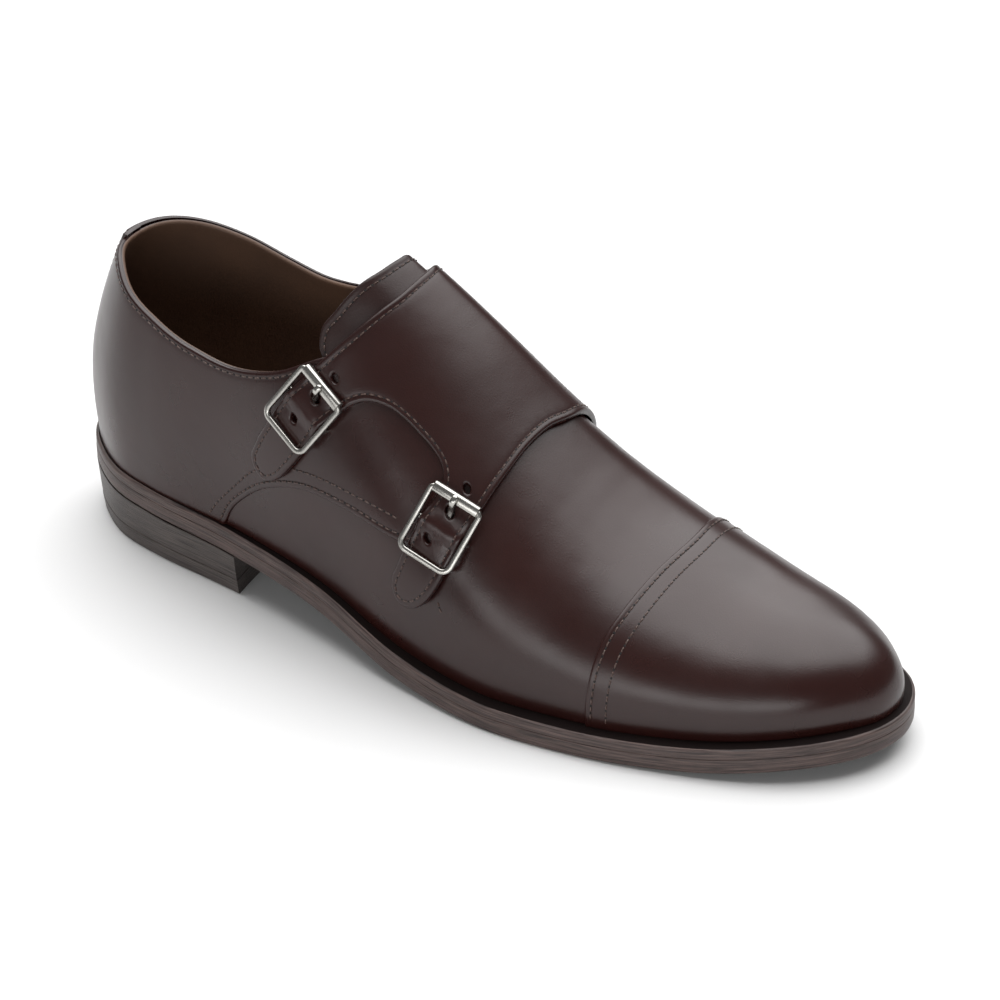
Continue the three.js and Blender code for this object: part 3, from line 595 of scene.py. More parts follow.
def sew(line, lift, pitch=STITCH_PITCH, length=STITCH_LENGTH):
    """Stitches along a line of the flat map, at a height over the last, and between them small near-black
    domes, painted shade of the needle holes.
    """
    if len(line) < 3:
        return
    lift = np.broadcast_to(lift, len(line))
    path = over(line, lift)
    along = lengths(path)
    outward = unit(over(line, lift + 1) - path)
    count = int(along[-1] // pitch)
    if count < 1:
        return
    spare = (along[-1] - count * pitch) / 2

    def at(values, t):
        return np.stack([np.interp(t, along, values[:, k]) for k in range(3)], -1)

    def directions(t):
        """Along the row, across it, and out from the leather."""
        ahead = unit(at(path, t + LOOK_AHEAD) - at(path, t - LOOK_AHEAD))
        out = unit(at(outward, t))
        return ahead, np.cross(ahead, out), out

    turn = np.linspace(0, 2 * math.pi, THREAD_SIDES, endpoint=False)[:, None]
    s, share = np.array(THREAD_RINGS).T
    t = (spare + pitch * (np.arange(count) + 0.5))[:, None] + s * length / 2
    _, side, up = directions(t)
    spine = at(path, t) + up * (THREAD_RISE - THREAD_DIP * s**2)[:, None]
    ring = side[:, :, None] * np.cos(turn) + up[:, :, None] * np.sin(turn)
    collect(thread_points, thread_faces, spine[:, :, None] + ring * (share[:, None, None] * THREAD_RADIUS))

    # painted shade: a near-black dome in each gap stands in for the shade inside the needle hole
    gap = spare + pitch * np.arange(1, count)
    ahead, across, out = directions(gap)
    flat = ahead[:, None] * np.cos(turn) + across[:, None] * np.sin(turn)
    centre = at(path, gap)[:, None]
    rings = [centre + flat * reach + out[:, None] * height for reach, height in NEEDLE_SHADE_DOME]
    collect(hole_shade_points, hole_shade_faces, np.stack(rings, 1))


# ---- materials -------------------------------------------------------------------------
class Look:
    """A material's nodes, made and linked in few words."""

    def __init__(self, name):
        self.material = bpy.data.materials.new(name)
        self.material.use_nodes = True
        self.tree = self.material.node_tree
        self.shader = self.tree.nodes["Principled BSDF"]
        self.place = self.node("ShaderNodeTexCoord").outputs["Object"]

    def node(self, kind, settings=None, **inputs):
        node = self.tree.nodes.new(kind)
        for key, value in (settings or {}).items():
            setattr(node, key, value)
        for key, value in inputs.items():
            numbered = key[0] == "i" and key[1:].isdigit()
            socket = node.inputs[int(key[1:]) if numbered else key.replace("_", " ")]
            if isinstance(value, bpy.types.NodeSocket):
                self.tree.links.new(value, socket)
            else:
                socket.default_value = value
        return node

    def set(self, **inputs):
        for key, value in inputs.items():
            socket = self.shader.inputs[key.replace("_", " ")]
            if isinstance(value, bpy.types.NodeSocket):
                self.tree.links.new(value, socket)
            else:
                socket.default_value = value

    def tag(self, name):
        return self.node("ShaderNodeAttribute", {"attribute_name": name}).outputs["Fac"]

    def scaled(self, x, y, z):
        scale = self.node("ShaderNodeVectorMath", {"operation": "MULTIPLY"}, i0=self.place, i1=(x, y, z))
        return scale.outputs[0]

    def noise(self, scale, detail=2.0, vector=None, rough=0.5):
        made = self.node(
            "ShaderNodeTexNoise", Vector=vector or self.place, Scale=scale, Detail=detail, Roughness=rough
        )
        return made.outputs["Fac"]

    def cells(self, scale):
        return self.node("ShaderNodeTexVoronoi", Vector=self.place, Scale=scale).outputs["Distance"]

    def ramp(self, value, low, high, to_low=0.0, to_high=1.0):
        made = self.node("ShaderNodeMapRange", i0=value, i1=low, i2=high, i3=to_low, i4=to_high)
        return made.outputs[0]

    def math(self, operation, a, b=0.0):
        return self.node("ShaderNodeMath", {"operation": operation}, i0=a, i1=b).outputs[0]

    def mix(self, share, a, b):
        return self.node("ShaderNodeMix", {"data_type": "RGBA"}, i0=share, i6=a, i7=b).outputs[2]

    def bump(self, height, distance, strength=1.0, normal=None):
        made = self.node("ShaderNodeBump", Height=height, Distance=distance, Strength=strength)
        if normal:
            self.tree.links.new(normal, made.inputs["Normal"])
        return made.outputs["Normal"]


def colour(code):
    """Linear colour of an sRGB code such as 0x3a2824."""
    parts = [((code >> shift) & 255) / 255 for shift in (16, 8, 0)]
    return (*[c / 12.92 if c <= 0.04045 else ((c + 0.055) / 1.055) ** 2.4 for c in parts], 1.0)


def leather(name, base, dark, rough=0.29, shine=0.46, grain=1.0):
    """Smooth polished calf: fine grain, soft clouding of the dye, darker burnished edges, and painted shade
    on the topline's lip, which carries the same edge tag.
    """
    look = Look(name)
    cloud = look.ramp(look.noise(26, 3), 0.35, 0.7)
    body = look.mix(look.math("MULTIPLY", cloud, 0.45), colour(base), colour(dark))
    # the edge tag darkens the burnished free edges of the panels; on the topline's lip it is painted shade
    body = look.mix(look.math("MULTIPLY", look.tag("edge"), 0.55), body, colour(dark))
    fine = look.noise(2600, 3, rough=0.6)
    pores = look.cells(1900)
    grain_height = look.math("ADD", look.math("MULTIPLY", fine, 0.5), look.math("MULTIPLY", pores, 0.5))
    small = look.bump(grain_height, 0.00005 * grain, 0.5)
    broad = look.bump(look.noise(110, 1), 0.0003 * grain, 0.3, small)
    rough_map = look.ramp(look.noise(40, 3), 0.3, 0.75, rough - 0.04, rough + 0.06)
    look.set(Base_Color=body, Roughness=rough_map, Normal=broad, Specular_IOR_Level=shine)
    return look.material


def sole_edge(name, base, pale, layers=0.0):
    """Sole leather, inked and brushed: fine lines along the edge, and a seam at every so many millimetres."""
    look = Look(name)
    along = look.tag("along")
    height = look.tag("height")
    flat = look.node("ShaderNodeCombineXYZ", X=look.math("MULTIPLY", along, 0.025), Y=height).outputs[0]
    lines = look.noise(1500, 4, vector=flat, rough=0.7)
    streaks = look.noise(4200, 2, vector=flat)
    both = look.math("ADD", look.math("MULTIPLY", lines, 0.6), look.math("MULTIPLY", streaks, 0.4))
    body = look.mix(look.ramp(both, 0.4, 0.62), colour(base), colour(pale))
    if layers:
        joint = look.math("PINGPONG", height, layers * MM / 2)
        seam = look.ramp(joint, 0.0, 0.0002, 1.0, 0.0)
        body = look.mix(look.math("MULTIPLY", seam, 0.22), body, colour(0x14100F))
    rough_map = look.ramp(both, 0.3, 0.7, 0.37, 0.54)
    look.set(Base_Color=body, Normal=look.bump(both, 0.0004, 0.9), Roughness=rough_map)
    return look.material


def lining(name, base, dark):
    """Vegetable-tanned lining: matt, with pores and faint rubbing."""
    look = Look(name)
    rub = look.ramp(look.noise(34, 4), 0.3, 0.75)
    pores = look.cells(1300)
    speck = look.ramp(pores, 0.0, 0.35, 0.25, 0.0)
    body = look.mix(look.math("MULTIPLY", rub, 0.6), colour(base), colour(dark))
    body = look.mix(speck, body, colour(dark))
    look.set(Base_Color=body, Roughness=look.ramp(rub, 0, 1, 0.56, 0.7))
    look.set(Normal=look.bump(look.math("ADD", pores, look.noise(900, 3)), 0.00006, 0.6))
    return look.material


def thread(name, base, dark):
    """Waxed linen thread: two plies twisted round each other."""
    look = Look(name)
    diagonal = {"bands_direction": "DIAGONAL"}
    wave = look.node("ShaderNodeTexWave", diagonal, Vector=look.place, Scale=420, Distortion=0.6)
    twist = wave.outputs["Fac"]
    body = look.mix(twist, colour(base), colour(dark))
    look.set(Base_Color=body, Roughness=look.ramp(look.noise(300), 0.3, 0.7, 0.45, 0.6))
    look.set(Normal=look.bump(twist, 0.00006, 0.7))
    return look.material


def steel(name):
    """Satin nickel plate with hairline brushing and faint handling marks."""
    look = Look(name)
    hair = look.noise(700, 3, vector=look.scaled(1, 6, 1))
    smudge = look.noise(90, 3)
    body = look.mix(look.ramp(smudge, 0.35, 0.75), colour(0xB7B5B0), colour(0x96948F))
    look.set(Base_Color=body, Metallic=1.0, Roughness=look.ramp(smudge, 0.3, 0.75, 0.2, 0.32))
    look.set(Normal=look.bump(hair, 0.00003, 0.35))
    return look.material


def rubber(name):
    look = Look(name)
    speckle = look.noise(1600, 3)
    body = look.mix(look.ramp(speckle, 0.35, 0.7), colour(0x1D1B1A), colour(0x2C2927))
    look.set(Base_Color=body, Roughness=look.ramp(look.noise(60), 0.3, 0.7, 0.62, 0.78))
    look.set(Normal=look.bump(speckle, 0.00012, 0.6))
    return look.material


# painted shade: this near-black colour on the needle holes' domes stands in for the shade inside the holes
def hole_shade_look(name):
    look = Look(name)
    look.set(Base_Color=look.mix(look.noise(800), colour(0x0C0808), colour(0x160F0E)), Roughness=0.8)
    return look.material


UPPER_LEATHER = leather("upper_leather", 0x2A110E, 0x1E0B09)
TONGUE_LEATHER = leather("tongue_leather", 0x29120F, 0x1C0C0A, rough=0.38, grain=1.5)
LINING = lining("lining_leather", 0x5E4535, 0x402D22)
SOCK = lining("sock_leather", 0x6A4D39, 0x4A3426)
SOLE_SIDE = sole_edge("sole_edge_leather", 0x211412, 0x5F4D48)
HEEL_SIDE = sole_edge("heel_edge_leather", 0x231B19, 0x59504C, layers=3.4)
# painted shade: the welt's recessed top, under the upper, is coloured near black
WELT_TOP_SHADE = leather("welt_top_painted_shade", 0x140A09, 0x0E0706, rough=0.7, shine=0.15)
RUBBER = rubber("heel_rubber")
THREAD = thread("linen_thread", 0x57443D, 0x3A2A25)
NEEDLE_SHADE = hole_shade_look("needle_hole_painted_shade")
STEEL = steel("polished_nickel")


# ---- upper: vamp and lining in one wall ------------------------------------------------
OPENING_STATIONS = 80
VAMP_STATIONS = 96
WALL_ROWS = 44
LIP_RINGS = 6
LIP_DROP = 0.7  # the lining's edge sits below the leather's
THROAT_CROWDING = 1.6


FOLDS = ((192, 0.05, 0.1, 4.0), (201, 0.1, 0.07, 3.5))  # station on the ridge, slope, depth and width
FOLD_REACH = 42  # girth at which they fade


def vamp_relief(x, girth):
    """Two very soft folds across the ball."""
    folds = 0
    for middle, slope, depth, width in FOLDS:
        line = middle + slope * girth
        reach = np.exp(-((girth / FOLD_REACH) ** 4))
        folds = folds - depth * np.exp(-(((x - line) / width) ** 2)) * reach
    return folds


def upper_wall():
    throat = float(angle_at(THROAT_X))
    t = np.linspace(0, 1, OPENING_STATIONS + 1)
    vamp = np.linspace(throat, math.pi, VAMP_STATIONS + 1)[1:]
    stations = np.concatenate([throat * (1 - (1 - t) ** THROAT_CROWDING), vamp])
    points, faces, flags, lip_shade = [], [], [], []
    count = 0
    for medial in (False, True):
        x = station_at(stations)
        top = rise_at_height(x, TOP_EDGE[int(medial)](x) - LIP_DROP)
        top[OPENING_STATIONS:] = math.pi / 2
        share = np.linspace(0, 1, WALL_ROWS + 1)
        u = np.broadcast_to(stations[:, None], (len(stations), WALL_ROWS + 1))
        rise = top[:, None] * share[None, :]
        girth = np.stack([girth_at_rise(medial, x, row) for row in rise.T], 1)
        relief = vamp_relief(station_at(u), -girth if medial else girth)
        outer = offset_point(np.array(medial), u, rise, BASE_LIFT + relief)
        inner = offset_point(np.array(medial), u, rise, np.array(-WALL))
        outer[:, 0, 2] -= FOOT_TUCK
        inner[:, 0, 2] -= FOOT_TUCK
        up = unit(outer[:, -1] - outer[:, -2])
        up[OPENING_STATIONS:] = 0
        middle, half = (outer[:, -1] + inner[:, -1]) / 2, (outer[:, -1] - inner[:, -1]) / 2
        thick = np.linalg.norm(half, axis=1, keepdims=True)
        lip = []
        for turn in np.linspace(0, math.pi, LIP_RINGS + 2)[1:-1]:
            lip.append(middle + half * math.cos(turn) + up * thick * math.sin(turn))
        rows = np.concatenate([outer, np.stack(lip, 1), inner[:, ::-1]], 1)
        width = rows.shape[1]
        made = np.array(grid_faces(len(stations), width, count, closed=True))
        column = (made[:, 0] - count) % width
        station = (made[:, 0] - count) // width
        over_lip = (column >= WALL_ROWS) & (column < WALL_ROWS + LIP_RINGS + 1)
        made = made[~(over_lip & (station >= OPENING_STATIONS))]
        column = (made[:, 0] - count) % width
        faces += made.tolist()
        flags += (column >= WALL_ROWS + LIP_RINGS // 2).astype(int).tolist()
        points.append(rows.reshape(-1, 3))
        # painted shade: the lip round the opening is tagged as an edge, so the leather darkens there as if in
        # shade
        on_lip = (np.arange(width) > WALL_ROWS - 3) & (np.arange(width) < WALL_ROWS + LIP_RINGS)
        lip_shade.append(np.outer(np.arange(len(stations)) < OPENING_STATIONS, on_lip).ravel())
        count += rows.shape[0] * width
    make(
        "vamp_and_lining", np.concatenate(points), faces, UPPER_LEATHER, "upper_leather",
        tags={"edge": np.concatenate(lip_shade)}, second=(LINING, flags), replaces=("upper",), sharp=70,
    )


# ---- leather panels --------------------------------------------------------------------
def side_stations(start, end, count=60):
    return station_at(np.linspace(float(angle_at(start)), float(angle_at(end)), count))


def edge_line(start, end, girths, medial):
    """A line along the bottom edge or the topline between two stations."""
    x = side_stations(start, end)
    return run(*zip(x, girths(x, medial)))


LATERAL_SEAM = ((76, 118), (83, 110), (90, 103.5), (97, 98.5), (110, 90.5), (129, 83), (148, 77))
MEDIAL_SEAM = (
    (78, -101.5), (87, -94.5), (98, -88.5), (118, -84), (136.7, -76.7), (150.6, -69.6), (161.4, -63),
)


def back_line(medial):
    top, bottom = float(collar(0.0, medial)[0]), float(foot(0.0, medial)[0])
    return run((0, top), (0, (top + bottom) / 2), (0, bottom))


def lateral_quarter():
    start = 72.0
    under_straps = ((158, 72), (164, 64), (166, 52), (165, 40), (162, 26), (158, 13), (156, 7))
    seam = run((start, float(foot(start, False)[0])), *LATERAL_SEAM, *under_straps)
    top_start = 152.0
    join = run((156, 7), *[(x, float(collar(x, False)[0])) for x in (154.0, top_start)])
    lines = [
        back_line(False), edge_line(0, start, foot, False), seam, join,
        edge_line(top_start, 0, collar, False),
    ]
    panel = Panel(lines, free=(2, 4))
    top = BASE_LIFT + edge_profile(panel.distance, PANEL_LIFT - BASE_LIFT)
    bottom = np.full(len(panel.x), BASE_LIFT - PANEL_SINK)
    panel.build("lateral_quarter", top, bottom, UPPER_LEATHER, "upper_leather")
    sew(line_offset(seam, STITCH_INSET, panel.outline), PANEL_LIFT)
    inner = run(
        (65, 125), (69, 119), (79, 107), (85, 100), (110, 84), (119, 80.3), (128, 77.2), (140, 73), (149, 70)
    )
    inner = inner[inside(inner, panel.outline)]
    sew(inner, PANEL_LIFT)
    sew(line_offset(lines[4], TOPLINE_INSET, panel.outline), PANEL_LIFT)
    sew(run((166.6, 81.5), (169.2, 84.5)), BASE_LIFT, pitch=1.9, length=1.6)


STRAP_REACH = 12.0  # no point of a strap is farther from its middle line
FORK_GIRTH = 40.0  # the straps part a little farther down than this


def strap_heights(panel):
    """Underside and thickness: flat on the inner quarter, then over the instep, then along each strap."""
    cape = smoothstep(panel.girth, -66, -30)
    bottom = BASE_LIFT + (SHEET_GAP - BASE_LIFT) * cape
    thick = (PANEL_LIFT - BASE_LIFT) + (STRAP_LIFT - SHEET_GAP - PANEL_LIFT + BASE_LIFT) * cape
    place = over(panel.points, 0.0)
    for x, girth, slant in BUCKLES.values():
        local = (place - map_point(x, girth)) @ buckle_axes(x, girth, slant)
        near = (np.abs(local[:, 0]) < STRAP_REACH) & (panel.girth > FORK_GIRTH)
        down = -local[:, 1]
        bump = BAR_BUMP_HEIGHT * np.exp(-((down / BAR_BUMP_REACH) ** 2))
        tab = (TAB_THICK + GAP / 2) * np.clip(down / TAB_START, 0, 1)
        bottom = np.where(near, SHEET_GAP + np.maximum(bump, tab), bottom)
    return bottom, thick


def monk_panel():
    """Inner quarter, cape over the instep and both straps, cut in one piece."""
    start = 70.0
    join = 107.0
    upper_strap = (
        (132.2, 45.1), (128.3, 47.3), (124.4, 51), (121, 55.5), (116.2, 63.5), (110.4, 76), (105.2, 85.5),
        (101.2, 91.5), (97.8, 94.7), (95, 96), (92, 95.2), (89.6, 92.6), (88.9, 89.6), (90.2, 85.5),
        (94.5, 76),
        (100.5, 63.5), (105, 55.5), (109.4, 47.3), (112.5, 41.5),
    )
    lower_strap = (
        (165.2, 82), (162.6, 86.5), (160, 89.6), (156.5, 91.9), (153.6, 92.3), (151.3, 90.4), (150.8, 86.5),
        (152, 82), (154.3, 72), (156.9, 60.5), (158.9, 51), (158.9, 48), (157, 45.4), (153, 44), (148, 43.4),
        (142, 43.1), (137, 43.5),
    )
    front = (
        (170.3, -43), (175.5, -29), (178.2, -14), (179, 0), (177.1, 9), (176, 19), (175.2, 31), (174.2, 40),
        (173.4, 47), (171.1, 60.5), (168.7, 72),
    )
    seam = run((start, float(foot(start, True)[0])), *MEDIAL_SEAM)
    rear = (
        (117.5, 31.5), (121.5, 22.5), (124.8, 14), (126.2, 7), (126.5, 0), (123.8, -8), (119, -15.5),
        (114, -22.5), (join, float(collar(join, True)[0])),
    )
    front_edge = run((161.4, -63), (166.5, -53), *front, *lower_strap, *upper_strap, *rear)
    lines = [
        edge_line(0, start, foot, True), seam, front_edge, edge_line(join, 0, collar, True), back_line(True),
    ]
    holes = [
        (116, 48.4, 1.15), (105.2, 68.3, 1.15), (111.3, 57.8, 1.5),
        (166.8, 44.8, 1.15), (160.7, 66, 1.15), (164.8, 54.2, 1.5),
    ]
    panel = Panel(lines, free=(1, 2, 3), holes=holes, spacing=1.6)
    bottom, thick = strap_heights(panel)
    top = bottom + edge_profile(panel.distance, thick, 0.13)
    panel.build("monk_strap_quarter", top, bottom - 0.02, UPPER_LEATHER, "upper_leather", replaces=("strap",))

    def height(line):
        near = np.array([np.argmin(((panel.points - p) ** 2).sum(1)) for p in line])
        return (bottom + thick)[near] - 0.12

    for line, inset in ((seam, STITCH_INSET), (front_edge, STITCH_INSET), (lines[3], TOPLINE_INSET)):
        row = line_offset(line, inset, panel.outline)
        sew(row, height(row))
    second = run(
        (64, -115), (72, -101.5), (81, -91.5), (93, -84.5), (116, -79), (134, -72.3), (148, -65.5),
        (157.5, -60.5),
    )
    third = run((55, -112), (63.5, -98), (73.5, -87), (87, -79.5), (103, -76.3), (113, -78))
    for row in (second, third):
        row = row[inside(row, panel.outline)]
        sew(row, height(row))
    box_start = 149.5
    for station in (box_start, 156.0):
        rise = (station - box_start) * 0.45
        across = run((station, -67.2 + rise), (station - 1.6, -64.2 + rise))
        sew(across, height(across), pitch=1.5, length=1.3)


EASE_REACH = 21.0  # how far round the ridge's end the toe cap is smoothed
EASE_SPREAD = 3.2


def eased(sheets, x, y):
    """Sheets with their heights near a place smoothed by a local mean, which takes out a crease."""
    points = np.concatenate([sheet.reshape(-1, 3) for sheet in sheets])
    areas = []
    for sheet in sheets:
        down, along = np.gradient(sheet[..., :2], axis=(0, 1))
        areas.append(np.abs(down[..., 0] * along[..., 1] - down[..., 1] * along[..., 0]).ravel() + 1e-6)
    areas = np.concatenate(areas)
    away = np.hypot(points[:, 0] - x, points[:, 1] - y)
    chosen = np.flatnonzero((away < EASE_REACH) & (points[:, 2] > 30))
    source = np.flatnonzero((away < EASE_REACH + 3 * EASE_SPREAD) & (points[:, 2] > 24))
    gap = points[chosen, None, :2] - points[None, source, :2]
    share = np.exp(-(gap**2).sum(2) / (2 * EASE_SPREAD**2)) * areas[source]
    mean = (share * points[source, 2]).sum(1) / share.sum(1)
    fade = 1 - smoothstep(away[chosen], 0.45 * EASE_REACH, EASE_REACH)
    points[chosen, 2] += (mean - points[chosen, 2]) * fade
    return [part.reshape(sheet.shape) for part, sheet in zip(np.split(points, len(sheets)), sheets)]


TOE_EDGE = table(
    "girth x",
    (-70, 220.5), (-30, 221), (-21, 222.5), (-10.5, 224.5), (0, 226), (23, 225), (38, 223.5), (50, 222),
    (75, 221.5), (90, 220.5),
)
TOE_ROWS = 60
TOE_COLUMNS = 45  # past the close ones along the cap's edge
TOE_NEAR = (0, 0.12, 0.32, 0.6, 1.0, 1.5, 2.0, 2.5, 3.2, 4.2, 5.5)  # distances of those from the edge
TOE_SECOND_ROW = 4.8  # between the cap's two rows of stitches
FAR_FROM_EDGE = 9.0


def toe_cap():
    """The cap over the toe, from its straight edge across the vamp to the tip."""
    edge_at = curve(TOE_EDGE, "girth", "x")
    near = np.array(TOE_NEAR)
    rise = np.linspace(0, math.pi / 2, TOE_ROWS + 1)
    sheets = []
    for medial in (False, True):
        x0 = np.full(TOE_ROWS + 1, 223.0)
        for _ in range(4):
            x0 = edge_at((-1 if medial else 1) * girth_at_rise(medial, x0, rise))
        shares = np.linspace(0, 1, TOE_COLUMNS + 1)[1:]
        q_near = q_at(x0)[:, None] + near
        q_far = q_near[:, -1:] + (MAP_Q[-1] - q_near[:, -1:]) * shares
        u = np.interp(np.concatenate([q_near, q_far], 1), MAP_Q, MAP_U)
        u[:, -1] = math.pi
        close = np.broadcast_to(near, q_near.shape)
        distance = np.concatenate([close, np.full(q_far.shape, FAR_FROM_EDGE)], 1)
        lift = BASE_LIFT + edge_profile(distance, PANEL_LIFT - BASE_LIFT)
        for lift_ in (lift, np.full(u.shape, BASE_LIFT - PANEL_SINK)):
            sheets.append(offset_point(np.array(medial), u, np.broadcast_to(rise[:, None], u.shape), lift_))
            sheets[-1][0, :, 2] -= FOOT_TUCK
    rows, width = sheets[0].shape[:2]
    for layer in (0, 1):
        both_sides = [sheets[layer], sheets[layer + 2]]
        sheets[layer], sheets[layer + 2] = eased(both_sides, LENGTH - TOE_MARGIN - TOE_DOME, TIP_Y)
    rims = ([r * width for r in range(rows)], list(range(width)))
    faces = sheet_faces(rows, width, rims) + sheet_faces(rows, width, rims, 2 * rows * width)
    points = np.concatenate([sheet.reshape(-1, 3) for sheet in sheets])
    make("toe_cap", points, faces, UPPER_LEATHER, "upper_leather", merge=0.02)
    girth = np.linspace(-62, 84, 200)
    for inset in (STITCH_INSET, STITCH_INSET + TOE_SECOND_ROW):
        row = np.stack([q_at(edge_at(girth)) + inset, girth], 1)
        reach = np.where(girth < 0, *foot_lines(x_at(row[:, 0])))
        sew(row[np.abs(girth) < np.abs(reach) - 1], PANEL_LIFT)


STAY_HALF = 4.6  # half the stay's width at the topline
STAY_THICK = 0.8
STAY_FOLD = 0.008  # angle by which its top stands over the topline
STAY_NEAR = (0, 0.12, 0.32, 0.6, 1.0, 1.4, 1.9, 2.6)  # rings of points along its free edges
STAY_SAMPLES = 400
STAY_INSET = 1.5


def stay_flare(rise):
    """The stay widens towards the sole."""
    return 1 + 0.35 * smoothstep(np.cos(rise), 0.86, 1.0)


def back_stay():
    """A narrow strip over the back seam, stitched down both sides, its top standing a little over the
    topline.
    """
    near = np.array(STAY_NEAR)
    middle = np.linspace(3.4 - STAY_HALF, STAY_HALF - 3.4, 7)
    across = np.concatenate([near - STAY_HALF, middle, STAY_HALF - near[::-1]])
    top = float(rise_at_height(0.0, TOP_EDGE[0](0.0)))
    rises = np.linspace(top + STAY_FOLD, 0, STAY_SAMPLES)
    along = lengths(last_point(np.array(False), np.zeros(STAY_SAMPLES), rises))
    down = np.minimum(np.concatenate([near, np.linspace(4, 100, 60)]), along[-1])
    down = down[: int(np.argmax(down >= along[-1])) + 1]
    s, r = np.meshgrid(across, np.interp(down, along, rises))
    u = np.interp(np.abs(s * stay_flare(r)), MAP_Q, MAP_U)
    u[:, len(across) // 2] = 0
    free = np.minimum(STAY_HALF - np.abs(s), down[:, None] + 0 * s)
    lifts = (PANEL_LIFT + edge_profile(free, STAY_THICK), PANEL_LIFT - 0.9 + 0 * s)
    sheets = [offset_point(s > 0, u, r, lift) for lift in lifts]
    for sheet in sheets:
        sheet[-1, :, 2] -= FOOT_TUCK
    rows, columns = s.shape
    numbers = np.arange(rows * columns).reshape(rows, columns)
    rim = [*numbers[0], *numbers[1:, -1], *numbers[-1, -2::-1], *numbers[-2::-1, 0]]
    faces = sheet_faces(rows, columns, [rim])
    points = np.concatenate([sheet.reshape(-1, 3) for sheet in sheets])
    tags = {"edge": np.tile(np.exp(-free.ravel() / WEAR_REACH), 2)}
    make("back_stay", points, faces, UPPER_LEATHER, "upper_leather", tags=tags, merge=0.0005)
    for medial in (False, True):
        rise = np.interp(np.linspace(2, along[-1] - 2, 150), along, rises)
        q = (STAY_HALF - STAY_INSET) * stay_flare(rise)
        girth = np.array([float(girth_at_rise(medial, a, b)[0]) for a, b in zip(x_at(q), rise)])
        sew(np.stack([q, -girth if medial else girth], 1), PANEL_LIFT + 0.78)


TONGUE_THICK = 1.8
TONGUE_INSET = 2.4


def tongue_depth(x, girth):
    """Height of the tongue's underside: deeper at its sides and where it goes under the vamp."""
    return -2.9 - 2.6 * np.maximum(smoothstep(np.abs(girth), 14, 34), smoothstep(x, 140, 160))


def tongue():
    """The tongue under the cape: its round top edge peeps out behind it."""
    rear = run(
        (150, -47), (128, -46), (110, -44), (105.5, -38), (108, -30), (112, -22), (116.5, -10), (118.5, 0),
        (116.8, 9), (112.3, 19.5), (107.5, 31.5), (104.4, 40), (105.5, 46), (112, 50), (128, 51), (150, 52),
    )
    front = run((150, 52), (170, 48), (172, 0), (170, -44), (150, -47))
    panel = Panel([rear, front], free=(0,), spacing=2.2)
    bottom = tongue_depth(panel.x, panel.girth)
    top = bottom + edge_profile(panel.distance, TONGUE_THICK)
    panel.build("tongue_leather", top, bottom, TONGUE_LEATHER, "tongue_leather", replaces=("tongue",))
    row = line_offset(rear, TONGUE_INSET, panel.outline)
    sew(row, tongue_depth(x_at(row[:, 0]), row[:, 1]) + TONGUE_THICK)


# ---- soles -----------------------------------------------------------------------------
def outline_point(medial, u, inset, feather=False):
    """A point of the sole's plan, or of the upper's bottom edge, drawn in square to itself."""

    def at(angle):
        if feather:
            return last_point(np.array(medial), angle, np.zeros_like(angle))[..., :2]
        x = station_at(angle)
        return np.stack([x, SOLE_EDGE[int(medial)](x)], -1)

    along = unit(at(np.clip(u + STEP, 0, math.pi)) - at(np.clip(u - STEP, 0, math.pi)))
    inward = np.stack([-along[..., 1], along[..., 0]], -1) * (-1 if medial else 1)
    end = (u < SAME_ANGLE) | (u > math.pi - SAME_ANGLE)
    inward[end] = np.stack([np.where(u[end] < 1, 1.0, -1.0), np.zeros(end.sum())], -1)
    return at(u) + inward * np.asarray(inset)[..., None]


def slab(
    name, profile, material, slot, replaces,
    end=math.pi, stations=150, columns=14, feather=False, below=None,
):
    """A plate whose edge follows profile, rows of (inset, height function) from the top to the bottom.

    An end before the toe makes it a heel, closed by a hollow front face. below is the underside's material.
    """
    u = np.linspace(0, end, stations + 1)
    is_heel = end < math.pi
    walls = []
    for medial in (False, True):
        rows = []
        for inset, height in profile:
            plan = outline_point(medial, u, np.full(len(u), inset), feather)
            rows.append(np.concatenate([plan, height(plan[:, 0])[:, None]], 1))
        walls.append(np.stack(rows, 1))
    lateral, medial = walls
    t = np.linspace(0, 1, columns + 1)[1:-1][None, :, None]
    floor = lateral[:, -1:] * (1 - t) + medial[:, -1:] * t
    roof = medial[:, :1] * (1 - t) + lateral[:, :1] * t
    for sheet, height in ((floor, profile[-1][1]), (roof, profile[0][1])):
        sheet[..., 2] = height(sheet[..., 0])
    section = np.concatenate([lateral, floor, medial[:, ::-1], roof], 1)
    edge_rows, width = len(profile), section.shape[1]
    if is_heel:
        half = (medial[:, :1, 1] - lateral[:, :1, 1]) / 2
        across = (section[..., 1] - (medial[:, :1, 1] + lateral[:, :1, 1]) / 2) / np.maximum(half, 1e-6)
        front = np.clip(section[..., 0] / BREAST_X, 0, 1) ** 6
        section[..., 0] -= BREAST_HOLLOW * (1 - np.clip(across, -1, 1) ** 2) * front
    points = section.reshape(-1, 3)
    faces = grid_faces(len(u), width, closed=True)
    along = np.repeat(lengths(lateral[:, 0, :2]), width)
    column = np.tile(np.arange(width), stations)
    height = points[:, 2] - under(points[:, 0])
    if is_heel:
        inner, front_faces = breast(points, edge_rows, columns, width)
        points = np.concatenate([points, inner])
        faces += front_faces
        along = np.concatenate([along, inner[:, 1] + 200])
        height = points[:, 2]
    second = None
    if below:
        flags = np.zeros(len(faces), int)
        flags[: len(column)] = (column >= edge_rows - 1) & (column < edge_rows + columns - 1)
        second = (below, flags)
    tags = {"along": along * MM, "height": height * MM}
    make(
        name, points, faces, material, slot,
        tags=tags, second=second, replaces=replaces, sharp=38, merge=0.01,
    )


